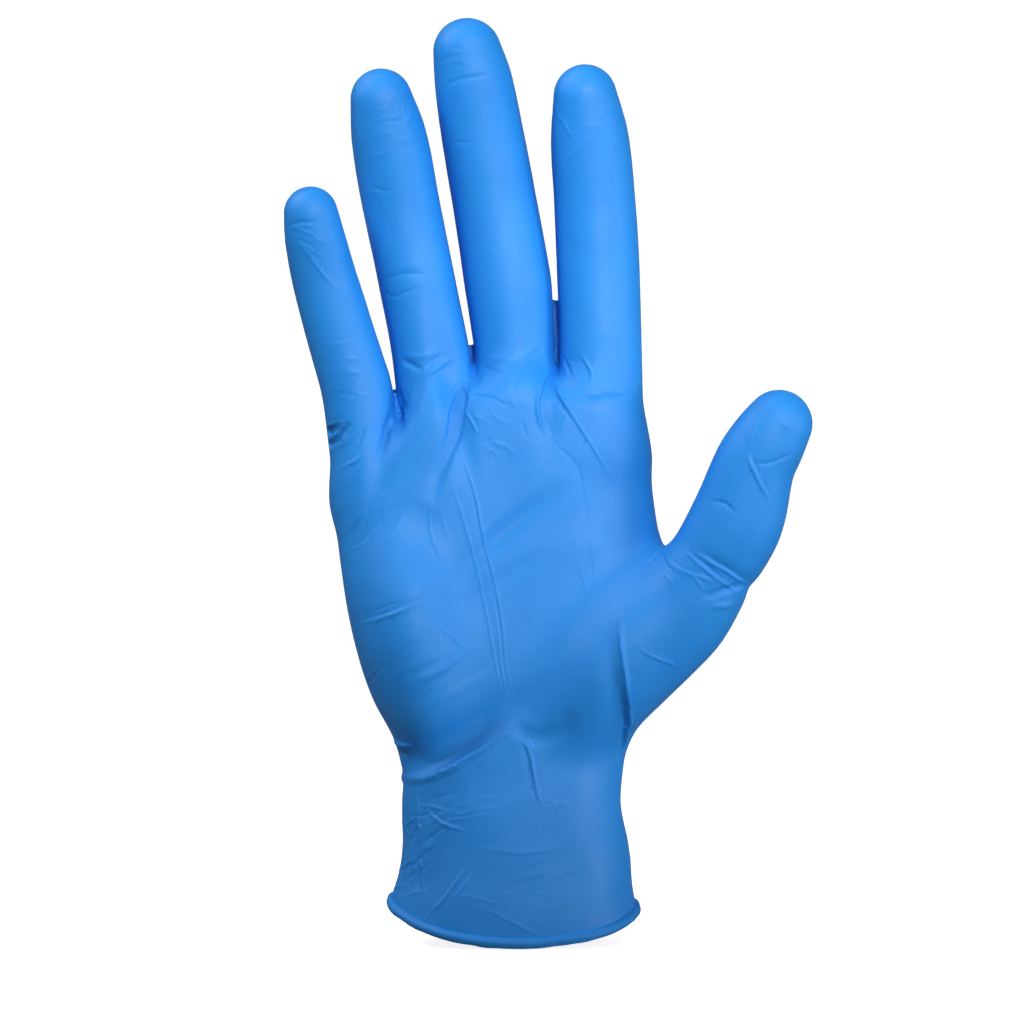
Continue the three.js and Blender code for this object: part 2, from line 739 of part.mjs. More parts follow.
// The film: the outer face less the hollow and all that is below the rim, with the bead on its edge
function filmOf() {
  const filled = solidOf(refined(NET.outer, netOf(NET.outer)));
  const hollow = solidOf(refined(NET.inner, netOf(NET.inner)));
  const open = filled.subtract(hollow).subtract(solidOfGeometry(belowHem()));
  return open.add(solidOf(beadOf()));
}

const nitrile = new THREE.MeshStandardMaterial({ color: COLOUR, roughness: 0.45, metalness: 0 });
const glove = new THREE.Mesh(geometryOf(filmOf()), nitrile);
glove.name = 'glove';

const part = new THREE.Group();
part.add(glove);

export default part;
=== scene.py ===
"""Looks of the examination glove: one film with its folds, creases and rolled rim, in satin blue nitrile."""
import math

import bpy
import numpy as np
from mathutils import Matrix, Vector


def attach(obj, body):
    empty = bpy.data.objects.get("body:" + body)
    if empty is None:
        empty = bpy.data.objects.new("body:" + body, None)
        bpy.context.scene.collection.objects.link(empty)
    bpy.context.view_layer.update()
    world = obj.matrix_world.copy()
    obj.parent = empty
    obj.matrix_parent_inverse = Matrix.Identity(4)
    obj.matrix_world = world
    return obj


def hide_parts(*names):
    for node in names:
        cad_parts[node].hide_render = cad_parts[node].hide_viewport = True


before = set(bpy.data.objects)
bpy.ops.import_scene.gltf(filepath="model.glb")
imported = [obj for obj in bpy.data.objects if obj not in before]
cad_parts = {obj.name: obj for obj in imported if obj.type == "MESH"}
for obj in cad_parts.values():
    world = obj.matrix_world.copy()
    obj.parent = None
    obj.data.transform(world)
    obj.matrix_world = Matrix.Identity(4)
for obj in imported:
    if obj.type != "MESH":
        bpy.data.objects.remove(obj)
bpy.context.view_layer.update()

MM = 0.001  # the form below is worked out in millimetres and built in metres

# The photograph: its scale, and the camera that it was taken with
PHOTO_SIDE = 1024  # pixels
MM_PER_PIXEL = 0.2575  # at the glove's middle plane
CENTRE_PIXEL = (513, 913)  # where the origin, the middle of the cuff's opening, shows
CAMERA_AWAY = 1200.0
SENSOR_WIDTH = 36.0
CAMERA_X = (PHOTO_SIDE / 2 - CENTRE_PIXEL[0]) * MM_PER_PIXEL
CAMERA_Z = (CENTRE_PIXEL[1] - PHOTO_SIDE / 2) * MM_PER_PIXEL

# Film and rim
WALL = 1.0
BEAD_RADIUS = 1.45
BEAD_OUTSET = 0.5
BEAD_SIDES = 14
HEM = {"rise": 2.5, "lean": -0.026, "tilt": 0.17, "sag": 0.01}
BLEND = {"stalls": 0.8, "roots": 6.0, "crown": 9.0, "pads": 9.0, "thumb": 7.0}  # lengths of the smooth joins
TINY = 0.001  # keeps divisors off zero


def table(columns, *rows):
    """Rows as a dict with one array for each named column."""
    return dict(zip(columns.split(), np.array(rows, float).T))


# Palm and cuff: edges and depths at each height, and how square the section is
TRUNK = table(
    "z left right front back square",
    (-16, -33.0, 33.0, 21.8, 22.2, 2.2),
    (-4, -32.4, 32.4, 21.6, 22.0, 2.2),
    (3, -31.6, 31.4, 20.8, 21.3, 2.2),
    (10, -29.8, 30.2, 19.6, 20.5, 2.2),
    (19, -28.8, 29.2, 18.6, 19.9, 2.2),
    (29, -28.7, 27.7, 17.7, 19.4, 2.2),
    (39, -28.2, 28.8, 16.4, 19.0, 2.2),
    (46, -28.8, 30.0, 15.7, 18.6, 2.2),
    (55, -33.6, 30.5, 15.6, 18.0, 2.3),
    (67, -38.2, 31.0, 15.6, 17.2, 2.4),
    (83, -42.8, 35.5, 14.8, 15.8, 2.5),
    (92, -44.6, 38.6, 14.3, 15.1, 2.5),
    (100, -45.6, 37.0, 13.8, 14.4, 2.6),
    (111, -46.2, 35.6, 13.4, 13.9, 2.6),
    (122, -46.8, 34.9, 13.0, 13.5, 2.6),
    (130, -47.2, 34.6, 12.8, 13.3, 2.6),
    (138, -47.6, 34.0, 12.5, 13.0, 2.6),
    (160, -47.6, 32.4, 12.0, 12.0, 2.6),
)

# Height at which the palm ends and the stalls go on alone
CROWN = table(
    "x z",
    (-56, 100), (-46, 114), (-38, 120), (-31, 123), (-21, 134), (-11, 136),
    (0, 140), (11, 137), (22, 136), (34, 127), (42, 110),
)

# Middle line and radius of each stall, from root to tip, and how shallow it is for its width
STALL_COLUMNS = "x y z radius"
STALLS = {
    "little": (0.92, table(
        STALL_COLUMNS,
        (-36.4, 0, 108, 9.8),
        (-38.7, -1.5, 126, 9.4),
        (-40.2, -2, 135, 9.2),
        (-41.6, -2.5, 140, 9.0),
        (-44.6, -3.5, 150, 8.8),
        (-48.3, -6, 163, 8.4),
        (-50.6, -9, 173, 7.8),
        (-51.6, -11, 179.4, 6.9),
    )),
    "ring": (0.92, table(
        STALL_COLUMNS,
        (-18.3, 0.5, 120, 10.9),
        (-21.0, 0, 143, 10.1),
        (-24.8, -1, 163, 9.9),
        (-28.9, -3, 183, 9.9),
        (-31.7, -7, 199, 9.6),
        (-33.6, -10.5, 208.6, 7.9),
    )),
    "middle": (0.92, table(
        STALL_COLUMNS,
        (0.6, 1.5, 120, 11.2),
        (0.3, 1.5, 145, 10.4),
        (-0.2, 1.5, 152, 10.8),
        (-0.8, 1.2, 158, 11.1),
        (-1.4, 1, 163, 11.3),
        (-4.7, 0, 183, 10.8),
        (-7.8, -3, 200, 10.5),
        (-10.1, -6, 213, 10.0),
        (-11.7, -8, 221, 8.7),
    )),
    "index": (0.92, table(
        STALL_COLUMNS,
        (22.8, 0, 120, 11.0),
        (22.6, 0, 145, 10.7),
        (21.9, -0.5, 165, 10.7),
        (21.0, -2, 183, 10.5),
        (19.8, -5, 198, 10.1),
        (18.5, -8.5, 209.6, 8.1),
    )),
    "thumb": (0.95, table(
        STALL_COLUMNS,
        (19.5, -4, 55, 8.8),
        (29.8, -6.5, 64, 11.6),
        (41.8, -10, 76.3, 12.9),
        (50.8, -13.5, 90, 11.6),
        (56.8, -15.9, 101, 11.9),
        (61.2, -18.7, 115, 10.3),
        (64.4, -20, 121, 9.6),
        (67.2, -21, 125.6, 8.5),
    )),
    # Webs at the back, which close the narrow slots between the stalls
    "web_little": (0.92, table(
        STALL_COLUMNS,
        (-29.6, 6, 116, 4.5),
        (-30.0, 5.5, 126, 3.6),
        (-30.6, 4.5, 132, 2.2),
        (-31.0, 4, 135, 1.0),
    )),
    "web_ring": (0.92, table(
        STALL_COLUMNS,
        (-10.3, 7, 126, 4.6),
        (-10.5, 7, 138, 3.6),
        (-11.0, 6, 144, 2.2),
        (-11.3, 5, 147, 1.0),
    )),
    "web_middle": (0.92, table(
        STALL_COLUMNS,
        (11.5, 7, 128, 4.6),
        (11.5, 7, 145, 3.8),
        (11.3, 6, 154, 2.4),
        (11.1, 5, 158, 1.2),
    )),
}

# Swellings of the palm side, whose long axis leans from +Z towards +X by an angle in degrees
PADS = [
    dict(x=26, y=-6, z=66, across=14, deep=17, along=26, lean=35),  # ball of the thumb
    dict(x=-25, y=-3, z=70, across=13, deep=17, along=30, lean=-12),  # heel of the palm
]

# Broad dents of the palm side, leaning likewise
DENTS = [
    dict(x=0, z=96, across=15, along=30, depth=1.6, lean=0),
    dict(x=-12, z=47, across=5, along=18, depth=1.0, lean=62),
    dict(x=-14, z=31, across=4.5, along=16, depth=0.3, lean=75),
    dict(x=-15.5, z=132, across=3, along=17, depth=1.6, lean=-12),
    dict(x=-33.5, z=117, across=3, along=11, depth=1.2, lean=8),
    dict(x=9, z=129, across=3, along=9, depth=1.0, lean=0),
    dict(x=24.5, z=56, across=2.6, along=18, depth=0.3, lean=0),
    dict(x=57, z=86, across=2.4, along=11, depth=0.6, lean=-58),
]
DENT_FADE = (-6.0, -1.0)  # a dent is whole in front of the first depth and gone behind the second

# Lanes of the net, up the glove: one lies in every gap between two stalls
LANES = table(
    "z edge little gap_little ring gap_ring middle gap_middle index side",
    (-20, -38, -28, -19, -10, 0, 9, 18, 27, 37),
    (30, -38, -27, -18, -9, 0, 9, 18, 27, 36),
    (90, -50, -38, -28, -18, -8, 2, 12, 24, 38.3),
    (125, -52, -39, -29.8, -19, -10, 0.5, 11.5, 22.6, 37.5),
    (142, -54, -42, -31.6, -21, -10.5, 0.8, 11.3, 22.6, 37),
    (153, -56.5, -45.5, -35.2, -22.8, -11.9, -0.2, 11.1, 22.4, 37),
    (163, -59.6, -48.3, -37.3, -24.8, -13.7, -1.5, 10.6, 21.9, 37),
    (183, -61.5, -51.8, -42.5, -28.9, -17.3, -4.7, 8.2, 21, 36),
    (200, -64, -54, -46, -32, -20.2, -7.8, 6.2, 19.6, 34),
    (236, -66, -58, -50, -38, -26, -13, 2, 16, 33),
)
SPAN = dict(front=-38, back=32, foot=-13, top=238, thumb_reach=84)
OUTER_NET = dict(level=0.0, across_stall=7, thumb_step=2.2, depth_step=2.2, height_step=3.0)
INNER_NET = dict(level=-WALL, across_stall=3, thumb_step=3.6, depth_step=3.6, height_step=5.0)
CROWDING = 1.8  # 1 spaces the lanes evenly, and more crowds them at the gaps


def along(rows, key, name, at):
    """Value of a smooth curve through a column, with each row's slope taken from its neighbours."""
    keys, values = rows[key], rows[name]
    before = np.r_[0, np.arange(len(keys) - 1)]
    after = np.r_[np.arange(1, len(keys)), len(keys) - 1]
    slopes = (values[after] - values[before]) / (keys[after] - keys[before])
    place = np.clip(at, keys[0], keys[-1])
    i = np.clip(np.searchsorted(keys, place, side="right") - 1, 0, len(keys) - 2)
    step = keys[i + 1] - keys[i]
    t = (place - keys[i]) / step
    from_here = (1 + 2 * t) * (1 - t) ** 2 * values[i] + t * (1 - t) ** 2 * step * slopes[i]
    to_next = t * t * (3 - 2 * t) * values[i + 1] + t * t * (t - 1) * step * slopes[i + 1]
    return from_here + to_next


def smooth_union(a, b, length):
    h = np.maximum(length - np.abs(a - b), 0) / length
    return np.minimum(a, b) - h * h * length / 4


def smooth_intersection(a, b, length):
    return -smooth_union(-a, -b, length)


CONES_PER_ROW = 7  # cones that follow the curve between two rows of a stall's table


def chain_of(shallow, rows):
    """A stall as balls on the curve through its rows, as columns x, y, z and radius."""
    spots = np.stack([rows["x"], rows["y"], rows["z"]], 1)
    travelled = np.r_[0, np.cumsum(np.linalg.norm(np.diff(spots, axis=0), axis=1))]
    count = CONES_PER_ROW * (len(travelled) - 1) + 1
    at = np.interp(np.linspace(0, len(travelled) - 1, count), np.arange(len(travelled)), travelled)
    with_travel = {**rows, "travelled": travelled}
    columns = [along(with_travel, "travelled", name, at) for name in ("x", "y", "z", "radius")]
    columns[1] = columns[1] / shallow
    return np.stack(columns, 1)


CHAINS = {name: chain_of(*stall) for name, stall in STALLS.items()}


FAR = 16.0  # distance given to points that are further than that from a stall


def stall_distance(name, points):
    shallow, _ = STALLS[name]
    flat = points * (1, 1 / shallow, 1)
    balls = CHAINS[name]
    room = balls[:, 3].max() + FAR
    box = (flat > balls[:, :3].min(0) - room) & (flat < balls[:, :3].max(0) + room)
    close = np.flatnonzero(box.all(1))
    flat = flat[close]
    nearest = np.full(len(flat), FAR)
    for a, b in zip(balls[:-1], balls[1:]):
        axis = b[:3] - a[:3]
        t = np.clip((flat - a[:3]) @ axis / (axis @ axis), 0, 1)
        away = np.linalg.norm(flat - a[:3] - t[:, None] * axis, axis=1)
        nearest = np.minimum(nearest, away - a[3] - t * (b[3] - a[3]))
    distance = np.full(len(points), FAR)
    distance[close] = nearest
    return distance


def trunk_distance(points):
    x, y, z = points.T
    left, right, square = (along(TRUNK, "z", name, z) for name in ("left", "right", "square"))
    deep = np.where(y < 0, along(TRUNK, "z", "front", z), along(TRUNK, "z", "back", z))
    wide = (right - left) / 2
    u = np.abs(x - (left + right) / 2) / wide
    v = np.abs(y) / deep
    reach = np.maximum((u**square + v**square) ** (1 / square), TINY)
    slope = reach ** (1 - square) * np.hypot(u ** (square - 1) / wide, v ** (square - 1) / deep)
    around = (reach - 1) / np.maximum(slope, TINY)
    return smooth_intersection(around, z - along(CROWN, "x", "z", x), BLEND["crown"])


def leaning(row, x, z):
    """Places across and along an axis that leans from +Z towards +X."""
    lean = math.radians(row["lean"])
    dx, dz = x - row["x"], z - row["z"]
    across = (dx * math.cos(lean) - dz * math.sin(lean)) / row["across"]
    up = (dx * math.sin(lean) + dz * math.cos(lean)) / row["along"]
    return across, up


def pad_distance(pad, points):
    x, y, z = points.T
    across, up = leaning(pad, x, z)
    deep = (y - pad["y"]) / pad["deep"]
    reach = np.sqrt(across**2 + deep**2 + up**2)
    slope = np.sqrt((across / pad["across"]) ** 2 + (deep / pad["deep"]) ** 2 + (up / pad["along"]) ** 2)
    return reach * (reach - 1) / np.maximum(slope, TINY)


def dent_depth(points):
    x, y, z = points.T
    depth = np.zeros(len(points))
    for dent in DENTS:
        across, up = leaning(dent, x, z)
        depth += dent["depth"] * np.exp(-across**2 - up**2)
    whole, gone = DENT_FADE
    return depth * np.clip((gone - y) / (gone - whole), 0, 1)


def glove_distance(points):
    """Distance from the outer face of the film without its folds, below zero inside."""
    palm = trunk_distance(points)
    for pad in PADS:
        palm = smooth_union(palm, pad_distance(pad, points), BLEND["pads"])
    stalls = stall_distance("little", points)
    for name in ("ring", "middle", "index", "web_little", "web_ring", "web_middle"):
        stalls = smooth_union(stall_distance(name, points), stalls, BLEND["stalls"])
    all_but_thumb = smooth_union(palm, stalls, BLEND["roots"])
    whole = smooth_union(all_but_thumb, stall_distance("thumb", points), BLEND["thumb"])
    return whole + dent_depth(points)


PROBE = 0.05  # step over which a slope is measured


def slope_at(points):
    """How the distance grows along X, Y and Z at each point."""
    columns = []
    for axis in np.eye(3) * PROBE:
        columns.append((glove_distance(points + axis) - glove_distance(points - axis)) / (2 * PROBE))
    return np.stack(columns, 1)


def outward_at(points):
    slope = slope_at(points)
    return slope / np.maximum(np.linalg.norm(slope, axis=1, keepdims=True), TINY)


LONGEST_MOVE = 2.5  # of a point in one turn of settle
GENTLEST = 0.1  # slopes below this count as this steep


def settle(points, level, turns=3):
    """Moves points onto the face of the given level."""
    for _ in range(turns):
        slope = slope_at(points)
        steep = np.maximum(np.linalg.norm(slope, axis=1), GENTLEST)
        move = np.clip((glove_distance(points) - level) / steep, -LONGEST_MOVE, LONGEST_MOVE)
        points = points - slope * (move / steep)[:, None]
    return points


def ticks(start, end, step):
    return np.linspace(start, end, math.ceil((end - start) / step) + 1)


def lanes_at(heights, net):
    """X of every lane of a net, in one row for each height, and on past the table for the thumb's stall."""
    main = np.stack([along(LANES, "z", name, heights) for name in LANES if name != "z"], 1)
    even = np.arange(net["across_stall"] + 1) / net["across_stall"]
    from_gap = even**CROWDING
    to_gap = 1 - from_gap[::-1]
    shares = np.tile([from_gap[:-1], to_gap[:-1]], ((main.shape[1] - 1) // 2, 1))
    between = main[:, :-1, None] + np.diff(main, axis=1)[:, :, None] * shares
    reach = SPAN["thumb_reach"]
    beyond = np.linspace(0, 1, math.ceil((reach - main[0, -1]) / net["thumb_step"]) + 1)
    of_thumb = main[:, -1:] + (reach - main[:, -1:]) * beyond
    return np.concatenate([between.reshape(len(heights), -1), of_thumb], 1)


def net_of(net):
    """A closed net of four-sided faces over the face of one level, as points and rows of four corners.

    Each box of the grid that the face passes through holds one point. The four boxes round each grid line
    that it crosses make a face.
    """
    heights = ticks(SPAN["foot"], SPAN["top"], net["height_step"])
    depths = ticks(SPAN["front"], SPAN["back"], net["depth_step"])
    lanes = lanes_at(heights, net)
    shape = (lanes.shape[1], len(depths), len(heights))
    nodes = np.empty(shape + (3,))
    nodes[..., 0] = lanes.T[:, None, :]
    nodes[..., 1] = depths[None, :, None]
    nodes[..., 2] = heights[None, None, :]
    values = (glove_distance(nodes.reshape(-1, 3)) - net["level"]).reshape(shape)
    values[:, :, 0] = 1
    values[:, :, -1] = 1

    boxes = np.array(shape)
    total = np.zeros(shape + (3,))
    count = np.zeros(shape)
    crossed = []
    for axis in range(3):
        low = [slice(None)] * 3
        high = [slice(None)] * 3
        low[axis], high[axis] = slice(0, -1), slice(1, None)
        here, there = values[tuple(low)], values[tuple(high)]
        cross = (here < 0) != (there < 0)
        share = (here[cross] / (here[cross] - there[cross]))[:, None]
        spots = nodes[tuple(low)][cross] * (1 - share) + nodes[tuple(high)][cross] * share
        side, rise = np.eye(3, dtype=int)[(axis + 1) % 3], np.eye(3, dtype=int)[(axis + 2) % 3]
        corners = np.argwhere(cross)
        around = np.stack([corners, corners - side, corners - side - rise, corners - rise], 1)
        flat = np.ravel_multi_index(around.reshape(-1, 3).T, boxes)
        np.add.at(total.reshape(-1, 3), flat, np.repeat(spots, 4, axis=0))
        np.add.at(count.reshape(-1), flat, 1)
        quads = flat.reshape(-1, 4)
        falling = here[cross] >= 0
        quads[falling] = quads[falling][:, ::-1]
        crossed.append(quads)
    used = np.flatnonzero(count.reshape(-1))
    index = np.full(count.size, -1)
    index[used] = np.arange(len(used))
    points = total.reshape(-1, 3)[used] / count.reshape(-1)[used][:, None]
    above_foot = points[:, 2] > heights[1]
    points[above_foot] = settle(points[above_foot], net["level"])
    return points, index[np.concatenate(crossed)]


VIEW_DEPTHS = np.linspace(-45, 40, 69)  # from the camera's side to the back


def seen(pixels, backwards):
    """Points of the film that show at pixels of the photograph, or lie straight behind them on the back."""
    eye = np.array([CAMERA_X, -CAMERA_AWAY, CAMERA_Z])
    across = (pixels[:, 0] - PHOTO_SIDE / 2) * MM_PER_PIXEL
    up = (PHOTO_SIDE / 2 - pixels[:, 1]) * MM_PER_PIXEL
    ray = np.stack([across, np.full(len(across), CAMERA_AWAY), up], 1) / CAMERA_AWAY
    depths = np.where(backwards[:, None], VIEW_DEPTHS[::-1], VIEW_DEPTHS)
    tried = eye + ray[:, None] * (CAMERA_AWAY + depths[..., None])
    within = (glove_distance(tried.reshape(-1, 3)) < 0).reshape(depths.shape)
    first = np.where(within.any(1), within.argmax(1), len(VIEW_DEPTHS) // 2)
    return settle(tried[np.arange(len(pixels)), first], 0.0)


# Folds and creases of the film, each as a line of pixels of the photograph that it lies on, or lies behind
# where its side is the back. Seen along its line a fold is width from foot to foot and stands height out, or
# sinks in where that is below zero. A valley as deep as given runs along its left foot, or along its right
# foot where that is below zero. A fold is highest at the share of its length called peak and runs out to
# nothing at both ends.
def fold(line, width, height, valley=0.0, peak=0.5, side="palm"):
    return dict(line=line, width=width, height=height, valley=valley, peak=peak, side=side)


